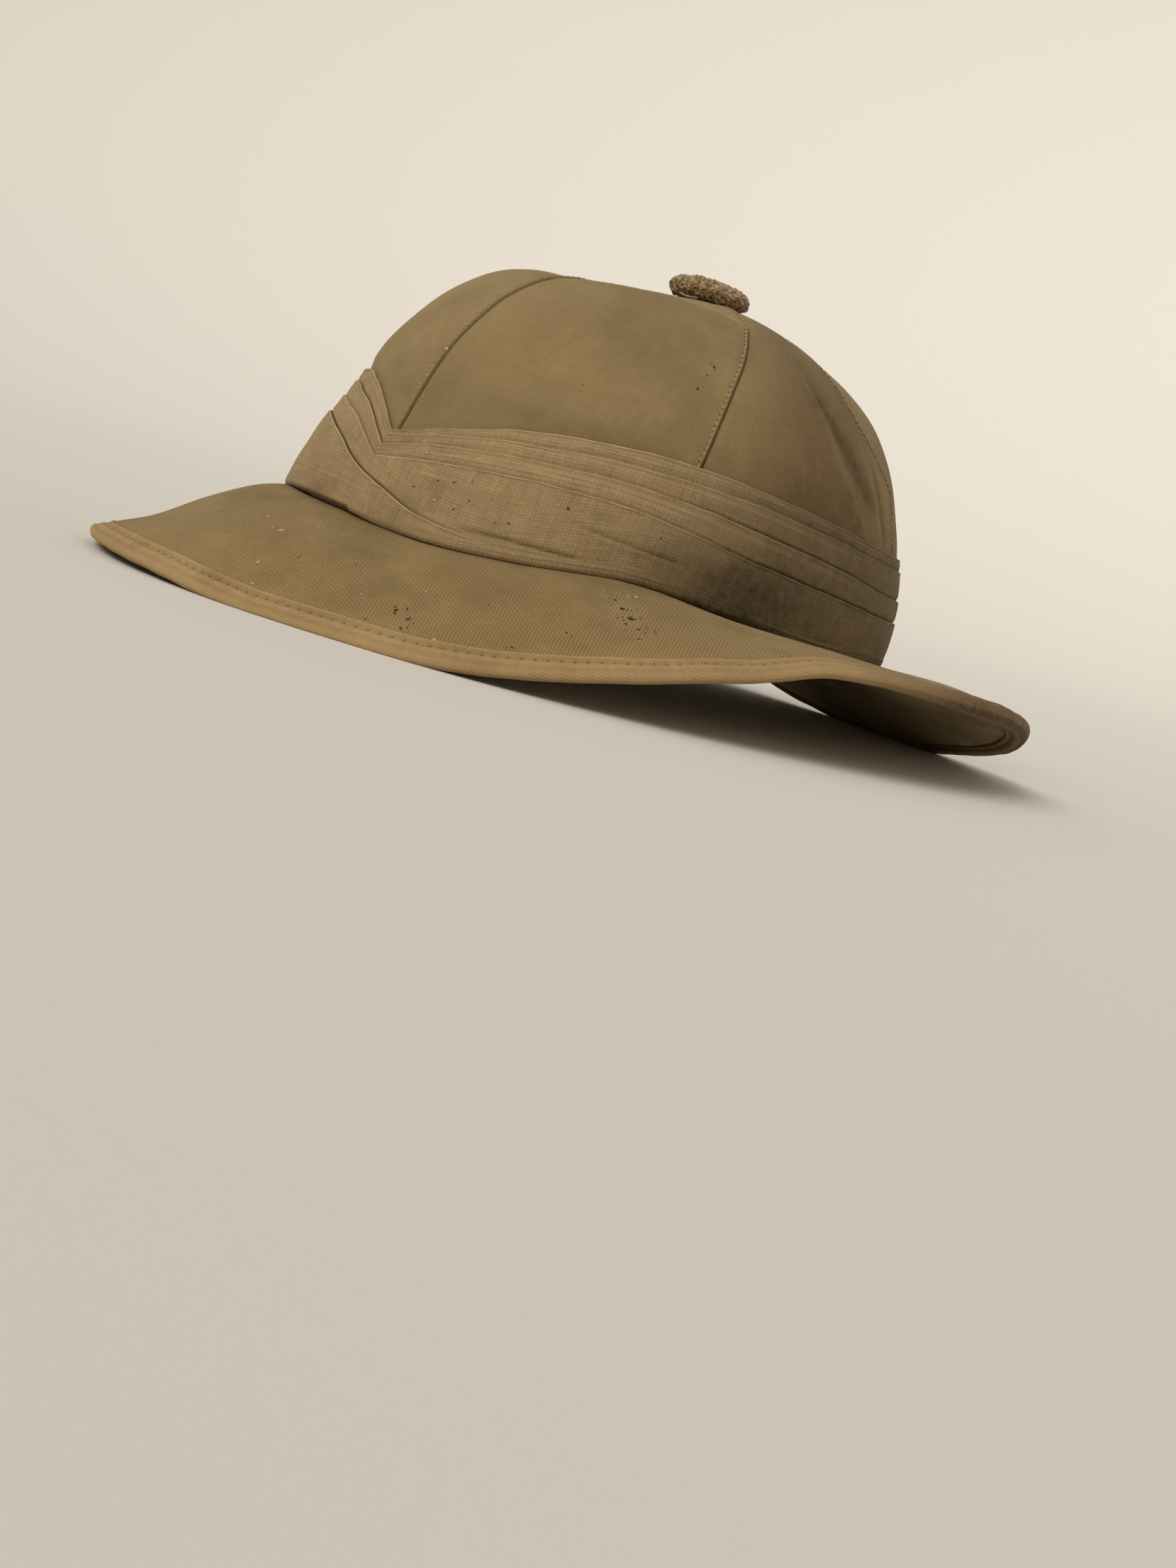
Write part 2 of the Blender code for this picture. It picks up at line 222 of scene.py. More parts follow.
# The long pulls beside the back seam: height in mm, half width in degrees, and mm up and azimuth along each
BACK_PULLS = (
    (-0.45, 3.0, ((52, 128), (60, 122.2), (66, 118.8), (75, 112.5), (79, 109), (88, 106.2))),
    (0.9, 1.5, ((40, 124.6), (52, 119.5), (61, 114.5), (75, 109.2), (86, 103.8))),
    (0.7, 1.3, ((42, 132.3), (55, 128.8), (70, 124))),
    (-0.5, 1.6, ((42, 135.6), (55, 132.5), (68, 128.5))),
    (0.4, 2.5, ((50, 104), (60, 101.5), (72, 100))),
)
gores = []
for place, gore_name in enumerate(GORE_NAMES):
    seam = SEAM_TURN + 60 * place
    columns = 61 if gore_name in COARSER_GORES else 91
    across = np.linspace(0, 1, columns)
    # The columns crowd towards both seams, where the folds are small
    across = 0.5 - 0.5 * np.cos(np.pi * across) * (0.72 + 0.28 * np.abs(np.cos(np.pi * across)))
    across = (across - across[0]) / (across[-1] - across[0])
    level = np.repeat(row_levels(GORE_FOOT, 61, 89, 89.6)[:, None], columns, 1)
    start, end = seam_azimuth(seam, level), seam_azimuth((seam + 60 - 24) % 360 + 24, level)
    end = np.where(end < start, end + 360, end)
    azimuth = start + (end - start) * across[None, :]
    radius = np.linalg.norm(crown_points(azimuth, level, 0)[..., :2] - [0, TOP_SHIFT * 0.8], axis=-1)
    from_start = np.radians(azimuth - start) * radius
    to_end = np.radians(end - azimuth) * radius
    base = crown_points(azimuth, level, 0)
    out = 0.00045 * ripple(base, 0.045, 3.1) + 0.00022 * ripple(base, 0.016, 7.7)
    # Long soft pulls up and down the cloth, most of them over the band
    out += 0.00032 * ripple(base * [1, 1, 0.3], 0.008, 5.3) * (1 - 0.7 * smooth(0.050, 0.085, level))
    # The front edge tucks under the gore before it; the back edge is turned under and lies over the next
    tuck = 1 - smooth(0, 0.0024, from_start)
    lap = 1 - smooth(0.0018, 0.0060, to_end)
    roll = 1 - smooth(0, 0.0006, to_end)
    sewn = bump_at(to_end, 0.0019, 0.0006)
    fade = 1 - smooth(86, 89.5, climb_at(level))
    out += (-0.00055 * tuck + 0.00045 * lap - 0.00085 * roll - 0.0002 * sewn) * fade
    # Pale along the lapped fold: wear and painted highlight. Dark along the tucked front edge and under the
    # rolled back edge: dirt and painted shade in the seam.
    marks = {
        "wear_and_highlight": 0.35 * bump_at(to_end, 0.0008, 0.0006) * (0.6 + 0.4 * ripple(base, 0.006, 2.0)),
        "soil_and_shade": 0.85 * (1 - smooth(0.0001, 0.0008, from_start)) + 0.5 * roll,
    }
    # Darker low on the crown, towards the band: painted shade, with some dirt
    low_shade_and_soil = 0.26 * (1 - smooth(0.040, 0.066, level))
    marks["soil_and_shade"] += low_shade_and_soil * (0.7 + 0.6 * ripple(base, 0.03, 8.0))
    below_top = 1 - smooth(0.1030, 0.1050, level)
    if gore_name == "left_front":
        # A crease across the head of the gore, where the side turns over to the top, paler along its ridge
        # (wear and painted highlight)
        crest = np.interp(azimuth, (24, 40, 60, 78, 87), (0.0945, 0.0985, 0.1005, 0.0995, 0.0965))
        out += 0.0008 * np.exp(-np.abs(level - crest) / 0.0012) * smooth(23, 34, azimuth)
        marks["wear_and_highlight"] += 0.5 * bump_at(level, crest, 0.0004)
        out -= 0.0010 * smooth(0, 0.0035, level - crest) * below_top * smooth(0, 0.02, to_end)
        out += 0.0011 * bump_at(azimuth, 52, 12) * bump_at(level, 0.0485, 0.0035)
        out -= 0.0009 * bump_at(azimuth, 50, 13) * bump_at(level, 0.0560, 0.0030)
    if gore_name == "front":
        out -= 0.0006 * smooth(0.0945, 0.0985, level) * below_top * smooth(-20, 15, azimuth - 360)
    if gore_name == "left_back":
        # Darker towards the back: painted shade on the side away from the lamp, with some dirt. Long
        # upright pulls near the back seam, paler on their ridges and darker in their hollows (painted
        # highlight and painted shade)
        back_shade_and_soil = (0.10 + 0.48 * smooth(84, 106, azimuth)) * (1 - 0.7 * smooth(120, 138, azimuth))
        marks["soil_and_shade"] += back_shade_and_soil
        for high, half, line in BACK_PULLS:
            mm, degrees = (np.array(part, float) for part in zip(*line))
            pull = bump_at(azimuth, np.interp(level * 1000, mm, degrees), half)
            pull *= smooth(mm[0] - 4, mm[0] + 4, level * 1000)
            pull *= 1 - smooth(mm[-1] - 9, mm[-1] + 4, level * 1000)
            out += 0.001 * high * pull
            marks["wear_and_highlight"] += 0.40 * max(high, 0) * pull
            marks["soil_and_shade"] += 0.80 * max(-high, 0) * pull
        # Dark along its back edge, in the seam: painted shade
        marks["soil_and_shade"] += 1.0 * (1 - smooth(0.0008, 0.0018, to_end))
    if gore_name == "back":
        # Darker all over, painted shade on the side away from the lamp with some dirt, and darker still
        # along its front seam (painted shade in the seam)
        marks["soil_and_shade"] += 0.25 + 0.75 * (1 - smooth(0.0006, 0.0022, from_start))
    # No fold sinks into the pith under it
    out = np.maximum(out, 0.0002 - SKIN)
    points = crown_points(azimuth, level, out)
    middle = (start + end) / 2
    length = np.concatenate([np.zeros((1, columns)), np.cumsum(
        np.linalg.norm(np.diff(base, axis=0), axis=-1), axis=0)])
    half_column = columns // 2
    length = np.repeat(length[:, half_column:half_column + 1], columns, 1)
    cut = np.stack([np.radians(azimuth - middle) * radius, length], -1)
    piece = cloth_sheet("crown_gore_cloth_" + gore_name, points, cut, marks, thick=CLOTH * 0.9)
    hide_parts("crown_gore_" + gore_name)
    gores.append(piece)


def tone(code):
    """A linear colour from an sRGB hex value."""
    parts = [int(code[at:at + 2], 16) / 255 for at in (0, 2, 4)]
    return [part / 12.92 if part <= 0.04045 else ((part + 0.055) / 1.055) ** 2.4 for part in parts] + [1.0]


def add_node(tree, kind, inputs=None, **settings):
    """One node with its settings, and with a value or a link for each input that is given."""
    node = tree.nodes.new(kind)
    for setting, value in settings.items():
        setattr(node, setting, value)
    for socket, source in (inputs or {}).items():
        if isinstance(source, bpy.types.NodeSocket):
            tree.links.new(source, node.inputs[socket])
        else:
            node.inputs[socket].default_value = source
    return node


def new_material(name):
    """A material with its node tree and its main shader node."""
    material = bpy.data.materials.new(name)
    material.use_nodes = True
    return material, material.node_tree, material.node_tree.nodes["Principled BSDF"]


def cotton(name, pale, dark, wear_and_highlight, soil_and_shade_colour, thread, weave, contrast, slub, depth, stains,
           steep=(1, 0), sheen=0.2):
    """Aged cotton cloth. thread is the spacing of its threads or ribs, steep the way across twill ribs.

    The flat cut gives the threads their direction. The pale mark lightens fold edges and ridges (wear and
    painted highlight), and the dark mark darkens seams, folds, corners and undersides (dirt and painted
    shade).
    """
    material, tree, shader = new_material(name)
    cut_map = add_node(tree, "ShaderNodeUVMap", uv_map="cut").outputs[0]
    solid = add_node(tree, "ShaderNodeTexCoord").outputs["Object"]
    # Spun threads wander, so the weave is bent a little before it is drawn
    wander = add_node(tree, "ShaderNodeTexNoise", {"Vector": solid, "Scale": 160, "Detail": 2})
    bent = add_node(tree, "ShaderNodeVectorMath", {0: wander.outputs["Color"], 1: (0.5, 0.5, 0.5)},
                    operation="SUBTRACT")
    bent = add_node(tree, "ShaderNodeVectorMath", {0: bent.outputs[0], 1: (thread, thread, 0), 2: cut_map},
                    operation="MULTIPLY_ADD")
    axes = add_node(tree, "ShaderNodeSeparateXYZ", {0: bent.outputs[0]}).outputs
    found = {"x": axes[0], "y": axes[1]}
    for mark in ("wear_and_highlight", "soil_and_shade"):
        found[mark] = add_node(tree, "ShaderNodeAttribute", attribute_name=mark).outputs["Fac"]
    # Thick and thin places run along the threads, both ways of the cloth
    for way, squeeze in (("long_slub", (0.07, 1, 1)), ("short_slub", (1, 0.07, 1))):
        found[way] = add_node(tree, "ShaderNodeVectorMath", {0: cut_map, 1: squeeze},
                              operation="MULTIPLY").outputs[0]
    for place, (_, _, _, _, _, seed) in enumerate(stains):
        found[place] = add_node(tree, "ShaderNodeVectorMath", {0: solid, 1: (seed, seed * 0.7, -seed)},
                                operation="ADD").outputs[0]
    # Mottling: its name, where it is read, size of its forms, detail and roughness
    mottles = [("long_slub", found["long_slub"], thread * 0.9, 2, 0.55),
               ("short_slub", found["short_slub"], thread * 0.9, 2, 0.55),
               ("patch", solid, 0.030, 4, 0.6), ("fleck", solid, 0.0035, 3, 0.7)]
    mottles += [(place, found[place], stain[1], 3, 0.6) for place, stain in enumerate(stains)]
    for mottle, where, size, detail, rough in mottles:
        found[mottle] = add_node(tree, "ShaderNodeTexNoise", {
            "Vector": where, "Scale": 1 / size, "Detail": detail, "Roughness": rough}).outputs["Fac"]
    turn = math.pi / thread
    if weave == "plain":
        # Warp and weft cross over and under each other, each sinking where it goes under
        sums = [
            ("warp_turn", "MULTIPLY", "x", turn), ("weft_turn", "MULTIPLY", "y", turn),
            ("warp_wave", "SINE", "warp_turn"), ("weft_wave", "SINE", "weft_turn"),
            ("side", "MULTIPLY", "warp_wave", "weft_wave"), ("warp_over", "GREATER_THAN", "side", 0.0),
            ("warp", "ABSOLUTE", "warp_wave"), ("weft", "ABSOLUTE", "weft_wave"),
            ("warp_dip", "MULTIPLY_ADD", "weft", 0.4, 0.6), ("weft_dip", "MULTIPLY_ADD", "warp", 0.4, 0.6),
            ("warp_top", "MULTIPLY", "warp", "warp_dip"), ("weft_top", "MULTIPLY", "weft", "weft_dip"),
            ("higher", "SUBTRACT", "warp_top", "weft_top"),
            ("height", "MULTIPLY_ADD", "warp_over", "higher", "weft_top"),
        ]
    else:
        # Slanting ribs, notched where each float of thread ends
        sums = [
            ("across_y", "MULTIPLY", "y", steep[1]), ("across", "MULTIPLY_ADD", "x", steep[0], "across_y"),
            ("along_y", "MULTIPLY", "y", steep[0]), ("along", "MULTIPLY_ADD", "x", -steep[1], "along_y"),
            ("rib_turn", "MULTIPLY", "across", 2 * turn), ("rib_wave", "SINE", "rib_turn"),
            ("rib", "MULTIPLY_ADD", "rib_wave", 0.5, 0.5),
            ("float_long", "MULTIPLY", "along", 1.3 * turn), ("float_wide", "MULTIPLY", "across", turn),
            ("float_turn", "ADD", "float_long", "float_wide"), ("float_wave", "SINE", "float_turn"),
            ("notch", "MULTIPLY_ADD", "float_wave", 0.5, 0.5), ("notched", "MULTIPLY", "notch", 0.2),
            ("height", "MULTIPLY_ADD", "rib", 0.8, "notched"),
        ]
    sums += [
        ("slubs", "ADD", "long_slub", "short_slub"),
        ("weave_gain", "SUBTRACT", "height", 0.5), ("light_1", "MULTIPLY_ADD", "weave_gain", contrast, 0.5),
        ("slub_gain", "SUBTRACT", "slubs", 1.0), ("light_2", "MULTIPLY_ADD", "slub_gain", slub, "light_1"),
        ("patch_gain", "SUBTRACT", "patch", 0.5), ("light_3", "MULTIPLY_ADD", "patch_gain", 0.9, "light_2"),
        ("fleck_gain", "SUBTRACT", "fleck", 0.5), ("light", "MULTIPLY_ADD", "fleck_gain", 0.35, "light_3"),
        ("pale_mark_grain", "MULTIPLY_ADD", "fleck", 1.2, 0.4), ("wear_and_highlight_share", "MULTIPLY", "wear_and_highlight", "pale_mark_grain"),
        ("dark_mark_grain", "MULTIPLY_ADD", "fleck", 0.8, 0.6), ("dirt_and_shade_share", "MULTIPLY", "soil_and_shade", "dark_mark_grain"),
        ("relief", "MULTIPLY_ADD", "slubs", 0.35, "height"),
        ("rough", "MULTIPLY_ADD", "fleck", 0.12, 0.82),
    ]
    for result, operation, *terms in sums:
        terms = {at: found[term] if isinstance(term, str) else term for at, term in enumerate(terms)}
        found[result] = add_node(tree, "ShaderNodeMath", terms, operation=operation,
                                 use_clamp=result in ("light", "wear_and_highlight_share", "dirt_and_shade_share")).outputs[0]
    # Colours laid over each other from the dark ground up: pale threads, stains, then the pale mark
    # (wear and painted highlight) and the dark mark (dirt and painted shade)
    layers = [(found["light"], pale)]
    for place, (stain, _, low, high, share, _) in enumerate(stains):
        reach = add_node(tree, "ShaderNodeMapRange", {0: found[place], 1: low, 2: high, 3: 0.0, 4: share},
                         interpolation_type="SMOOTHSTEP")
        layers.append((reach.outputs[0], stain))
    colour = tone(dark)
    for share, over in layers + [(found["wear_and_highlight_share"], wear_and_highlight), (found["dirt_and_shade_share"], soil_and_shade_colour)]:
        colour = add_node(tree, "ShaderNodeMix", {0: share, 6: colour, 7: tone(over)},
                          data_type="RGBA").outputs[2]
    tree.links.new(colour, shader.inputs["Base Color"])
    bump = add_node(tree, "ShaderNodeBump", {"Height": found["relief"], "Distance": depth, "Strength": 0.7})
    tree.links.new(bump.outputs[0], shader.inputs["Normal"])
    tree.links.new(found["rough"], shader.inputs["Roughness"])
    shader.inputs["Specular IOR Level"].default_value = 0.25
    shader.inputs["Sheen Weight"].default_value = sheen
    shader.inputs["Sheen Roughness"].default_value = 0.55
    shader.inputs["Sheen Tint"].default_value = tone("D8C7A0")
    return material


# Plain-woven khaki cotton, worn thin and dusty: matt, with a faint checked grain and soft brown stains.
# Real threads lie 0.4 mm apart. They are drawn at 0.9 mm, or the weave wouldn't show.
crown_cotton = cotton(
    "plain_woven_khaki_cotton", pale="9F8860", dark="7B6541", wear_and_highlight="B09A72", soil_and_shade_colour="4C361B",
    thread=0.0009, weave="plain", contrast=0.17, slub=0.42, depth=0.00011,
    stains=[("6C5838", 0.05, 0.50, 0.68, 0.35, 1.0), ("806848", 0.04, 0.56, 0.72, 0.30, 5.0)])
for piece, area in zip(gores, (0.0124, 0.0107, 0.0117, 0.0114, 0.0125, 0.0120)):
    piece.data.materials.append(crown_cotton)
    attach(piece, "root")


# Seam stitches. Backstitch in the gores' own khaki thread beside each seam's fold. Between two needle holes
# the cloth and thread stand up as a small puff, and each hole is a dark pit of painted shade. Some puffs
# are worn away.
PUFF_PITCH = 0.0023
CLIMB_STEP = 0.0008


def lay_copies(model, places, name):
    """Copies of a small model at places (spot, along, upward, scale), joined into one piece."""
    copies = []
    for spot, along, upward, scale in places:
        upward = Vector(upward).normalized()
        along = Vector(along)
        along = (along - upward * along.dot(upward)).normalized()
        turned = Matrix((along, upward.cross(along), upward)).transposed().to_4x4()
        one = model.copy()
        one.data = model.data.copy()
        one.matrix_world = Matrix.Translation(Vector(spot)) @ turned @ Matrix.Diagonal((*scale, 1))
        bpy.context.scene.collection.objects.link(one)
        copies.append(one)
    bpy.data.objects.remove(model, do_unlink=True)
    bpy.ops.object.select_all(action="DESELECT")
    for one in copies:
        one.select_set(True)
    bpy.context.view_layer.objects.active = copies[0]
    bpy.ops.object.join()
    piece = bpy.context.active_object
    bpy.ops.object.transform_apply(location=True, rotation=True, scale=True)
    piece.name = piece.data.name = name
    return piece


def squeeze_mesh(x, y, z):
    """Scale the active piece's own mesh about the world's origin."""
    bpy.ops.object.mode_set(mode="EDIT")
    bpy.ops.mesh.select_all(action="SELECT")
    bpy.ops.transform.resize(value=(x, y, z), center_override=(0, 0, 0))
    bpy.ops.object.mode_set(mode="OBJECT")


def small_bead(segments, rings, squeeze):
    """A bead 1 m long along X, to be scaled down: a sphere squeezed in and thinned towards its ends."""
    bpy.ops.object.select_all(action="DESELECT")
    bpy.ops.mesh.primitive_uv_sphere_add(segments=segments, ring_count=rings, radius=0.5,
                                         rotation=(0, math.pi / 2, 0))
    bpy.ops.object.transform_apply(rotation=True)
    squeeze_mesh(1, squeeze, squeeze)
    bpy.ops.object.shade_smooth()
    return bpy.context.active_object


def crown_frame(azimuth, level, out):
    """A spot on the crown with the ways up its meridian and out of its cloth."""
    here, above, outer = (Vector(crown_points(azimuth, at, away)) for at, away in (
        (level, out), (level + CLIMB_STEP, out), (level, out + 0.001)))
    return here, above - here, outer - here


def on_cloth(cloths, spot, outward):
    """Where a line down to the cloth meets it, with the cloth's own normal there."""
    for cloth in cloths:
        met, place, normal, _ = cloth.ray_cast(spot + outward * 0.007, -outward, distance=0.02)
        if met:
            return place, normal
    return spot, outward


dice = random.Random(7)
bpy.context.view_layer.update()
puffs, pits = [], []
for place in range(6):
    seam = SEAM_TURN + 60 * place
    level = 0.030
    while level < 0.1050:
        azimuth = float(seam_azimuth(seam, level))
        radius = float(np.linalg.norm(crown_points(azimuth, level, 0)[:2] - [0, TOP_SHIFT * 0.9]))
        if radius < 0.016:
            break
        ahead = float(seam_azimuth(seam, level + CLIMB_STEP))
        for group, back, rise in ((puffs, 0.0010, 0.5), (pits, 0.0014, 0.0)):
            turned = azimuth - math.degrees(back / radius)
            spot, _, outward = crown_frame(turned, level + rise * CLIMB_STEP, 0.0004)
            higher = level + (rise + 1) * CLIMB_STEP
            along = Vector(crown_points(turned + ahead - azimuth, higher, 0.0004)) - spot
            spot, outward = on_cloth(gores, spot, outward.normalized())
            if group is pits or dice.random() < 0.93:
                size = dice.uniform(0.85, 1.15)
                puff_scale = (0.0021 * size, 0.0021 * size, 0.0016)
                pit_scale = (0.00048 * size, 0.0009, 0.0005)
                group.append((spot, along, outward, puff_scale if group is puffs else pit_scale))
        climb = max(0.25, crown_frame(azimuth, level, 0)[1].length / CLIMB_STEP)
        level += PUFF_PITCH / climb
seam_puffs = lay_copies(small_bead(8, 6, 0.36), puffs, "seam_stitch_puffs")
seam_pits = lay_copies(small_bead(6, 5, 0.7), pits, "seam_needle_holes")


def plain_thread(name, pale, dark, grain, sheen=0.15):
    """Spun thread or yarn: short fibres in two tones with a fine twist in the relief."""
    material, tree, shader = new_material(name)
    solid = add_node(tree, "ShaderNodeTexCoord").outputs["Object"]
    noise_node = add_node(tree, "ShaderNodeTexNoise", {"Vector": solid, "Scale": 1 / grain, "Detail": 3})
    fibres = noise_node.outputs["Fac"]
    share = add_node(tree, "ShaderNodeMapRange", {0: fibres, 1: 0.35, 2: 0.65}).outputs[0]
    mix = add_node(tree, "ShaderNodeMix", {0: share, 6: tone(dark), 7: tone(pale)}, data_type="RGBA")
    tree.links.new(mix.outputs[2], shader.inputs["Base Color"])
    bump = add_node(tree, "ShaderNodeBump", {"Height": fibres, "Distance": grain * 0.4, "Strength": 0.6})
    tree.links.new(bump.outputs[0], shader.inputs["Normal"])
    shader.inputs["Roughness"].default_value = 0.92
    shader.inputs["Specular IOR Level"].default_value = 0.15
    shader.inputs["Sheen Weight"].default_value = sheen
    return material


# Khaki sewing thread: matt and a little paler than the cloth, which makes a fine dotted line beside a seam.
# Each needle hole is a bead of painted shade, near black brown with no shine, so that it reads as a dark
# pit.
khaki_thread = plain_thread("khaki_sewing_thread", "A8916A", "86704C", 0.0006)
hole_shade = plain_thread("needle_hole_painted_shade", "3E2D18", "2C1F10", 0.0004, 0.0)
for piece, finish in ((seam_puffs, khaki_thread), (seam_pits, hole_shade)):
    piece.data.materials.append(finish)
    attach(piece, "root")


# Pith crown. The hollow form that the cloth is drawn over, built of pressed sheets of light pith. It shows
# inside, as a matt, pale, faintly layered wall.
azimuth = np.repeat(np.linspace(0, 360, 181)[None, :], 60, 0)
level = np.repeat(row_levels(-GORE_FOOT, 29, 31, 89.8)[:, None], 181, 1)
level = np.where(level < 0.002, root_level(azimuth) + level + 0.0012, level)
base = crown_points(azimuth, level, -SKIN)
points = crown_points(azimuth, level, -SKIN + 0.0002 * ripple(base, 0.02, 12.0))
points[:, -1] = points[:, 0]
cut = np.stack([np.radians(azimuth) * 0.09, level], -1)
shell = cloth_sheet("pressed_pith_crown", points, cut, {}, ring=True, thick=0.005)


def pressed_pith(name, pale, dark):
    """Raw pith: soft pale cells with faint level layers, matt all over."""
    material, tree, shader = new_material(name)
    solid = add_node(tree, "ShaderNodeTexCoord").outputs["Object"]
    flat = add_node(tree, "ShaderNodeVectorMath", {0: solid, 1: (0.25, 0.25, 1.6)}, operation="MULTIPLY")
    layers = add_node(tree, "ShaderNodeTexNoise", {"Vector": flat.outputs[0], "Scale": 420, "Detail": 4})
    layers = layers.outputs["Fac"]
    cells = add_node(tree, "ShaderNodeTexVoronoi", {"Vector": solid, "Scale": 900}).outputs["Distance"]
    mix = add_node(tree, "ShaderNodeMix", {0: layers, 6: tone(dark), 7: tone(pale)}, data_type="RGBA")
    tree.links.new(mix.outputs[2], shader.inputs["Base Color"])
    bump = add_node(tree, "ShaderNodeBump", {"Height": cells, "Distance": 0.0002, "Strength": 0.5})
    tree.links.new(bump.outputs[0], shader.inputs["Normal"])
    shader.inputs["Roughness"].default_value = 0.95
    shader.inputs["Specular IOR Level"].default_value = 0.15
    return material


# Raw pressed pith: pale, soft and quite without shine, so that it looks light and dry
shell.data.materials.append(pressed_pith("pressed_pith", "CDB894", "A8906A"))
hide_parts("pith_shell")
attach(shell, "root")


# Brim. A flared core of pith under one flat-cut layer of khaki twill, with thinner cloth below.
# The twill is laid over the brim with its ribs running across it, and both layers end in the binding.
HAT_LENGTH = 0.353
HAT_WIDTH = 0.299
RIM_LIFT = 0.030
FLATTENED = 0.0008
BRIM_CORE_ROOT = 0.0050
BRIM_CORE_EDGE = 0.0010
BINDING_CLOTH = 0.0012
BINDING_WIDTH = 0.0065
RIM_TABLE = (
    # azimuth, share of the lift
    (36, 0.00), (54, 0.00), (63, 0.09), (75, 0.35), (90, 0.72), (99, 0.97), (107, 1.00),
    (120, 0.965), (135, 0.88), (150, 0.66),
    (180, 0.13), (192, 0.00), (204, 0.00), (213, 0.09), (240, 0.76), (270, 0.70),
    (297, 0.09), (306, 0.00), (324, 0.00), (345, 0.10), (360, 0.12), (375, 0.10),
)


def read_round(table, column, azimuth):
    """Read one column of a table at azimuths, smoothly and with no overshoot, round the whole turn."""
    start = table[0][0]
    azimuth = start + (np.asarray(azimuth, float) - start) % 360
    at = np.array([row[0] for row in table] + [start + 360], float)
    value = np.array([row[column] for row in table] + [table[0][column]], float)
    span, rise = np.diff(at), np.diff(value) / np.diff(at)
    slope = np.zeros(len(at))
    slope[0], slope[-1] = rise[0], rise[-1]
    product = rise[:-1] * rise[1:]
    total = rise[:-1] + rise[1:]
    slope[1:-1] = np.where(product > 0, 2 * product / np.where(total == 0, 1, total), 0)
    place = np.clip(np.searchsorted(at, azimuth, side="right") - 1, 0, len(span) - 1)
    along = (azimuth - at[place]) / span[place]
    ease = along * along * (3 - 2 * along)
    pull = slope[place] * along * (1 - along) ** 2 - slope[place + 1] * along ** 2 * (1 - along)
    return value[place] + (value[place + 1] - value[place]) * ease + span[place] * pull


class BrimLines:
    """The brim's sections at an array of azimuths: root, edge, and the directions along and up from it."""

    def __init__(self, azimuth):
        turn = np.radians(azimuth)
        half_edge = BRIM_CORE_EDGE / 2 + GAP + BINDING_CLOTH
        nose = GAP + BINDING_CLOTH
        rim_height = half_edge - FLATTENED + RIM_LIFT * read_round(RIM_TABLE, 1, azimuth)
        rim = np.stack([HAT_WIDTH / 2 * np.sin(turn), -HAT_LENGTH / 2 * np.cos(turn), rim_height], -1)
        root_top = crown_points(azimuth, root_level(azimuth), -SKIN)
        flat = (rim - root_top)[..., :2]
        run = np.linalg.norm(flat, axis=-1)
        slope = np.arctan2(rim[..., 2] - root_top[..., 2] + BRIM_CORE_ROOT / 2, run)
        fall, rise = np.cos(slope), np.sin(slope)
        self.radial = np.concatenate([flat / run[..., None], np.zeros_like(run)[..., None]], -1)
        upright = np.array([0.0, 0.0, 1.0])
        self.along = self.radial * fall[..., None] + upright * rise[..., None]
        self.up = upright * fall[..., None] - self.radial * rise[..., None]
        corners = ((0, 1), (0.8, 0.8), (1, 0.3), (1, -0.3), (0.8, -0.8), (0, -1))
        reach = np.max([x * nose * fall - y * half_edge * rise for x, y in corners], axis=0)
        self.edge = rim - self.radial * reach[..., None]
        self.root = root_top - self.up * BRIM_CORE_ROOT / 2
        self.length = np.linalg.norm(self.edge - self.root, axis=-1)
        self.leg = 1 - BINDING_WIDTH / self.length
        self.arch = 0.0045 * (1 + np.cos(turn)) / 2 - 0.0034 * bump_at((azimuth + 180) % 360 - 180, -32, 24)
        self.dish = 0.0032 * bump_at((azimuth + 180) % 360 - 180, -16, 27)
        self.swell = 0.0022 * bump_at(azimuth % 360, 150, 26)
        self.root_fall = np.tan(slope) + 4 * self.arch / self.length
        ring = np.stack([np.sin(turn), np.cos(turn), 0 * turn], -1)
        self.wave = 0.0006 * ripple(ring * 0.16, 0.030, 4.0) + 0.0003 * ripple(ring * 0.16, 0.011, 9.0)

    def surface(self, share, side, clearance):
        """Points over (side 1) or under (side -1) the pith core, clear of it by a distance."""
        share = np.asarray(share, float)
        half = (BRIM_CORE_ROOT + (BRIM_CORE_EDGE - BRIM_CORE_ROOT) * share) / 2
        rise = self.arch * 4 * share * (1 - share) + self.wave * share ** 2 + side * (half + clearance)
        rise = rise + self.dish * (0.5 * bump_at(share, 0.15, 0.18) - bump_at(share, 0.70, 0.22))
        rise = rise + (side > 0) * self.swell * bump_at(share, 0.62, 0.22)
        spot = self.root + (self.edge - self.root) * share[..., None]
        return spot + self.up * rise[..., None]


def padding(azimuth):
    """How much thicker the bound edge is round the left back, where the tape stands away from the brim."""
    return 1 + 0.36 * smooth(104, 122, azimuth) * (1 - smooth(190, 206, azimuth))


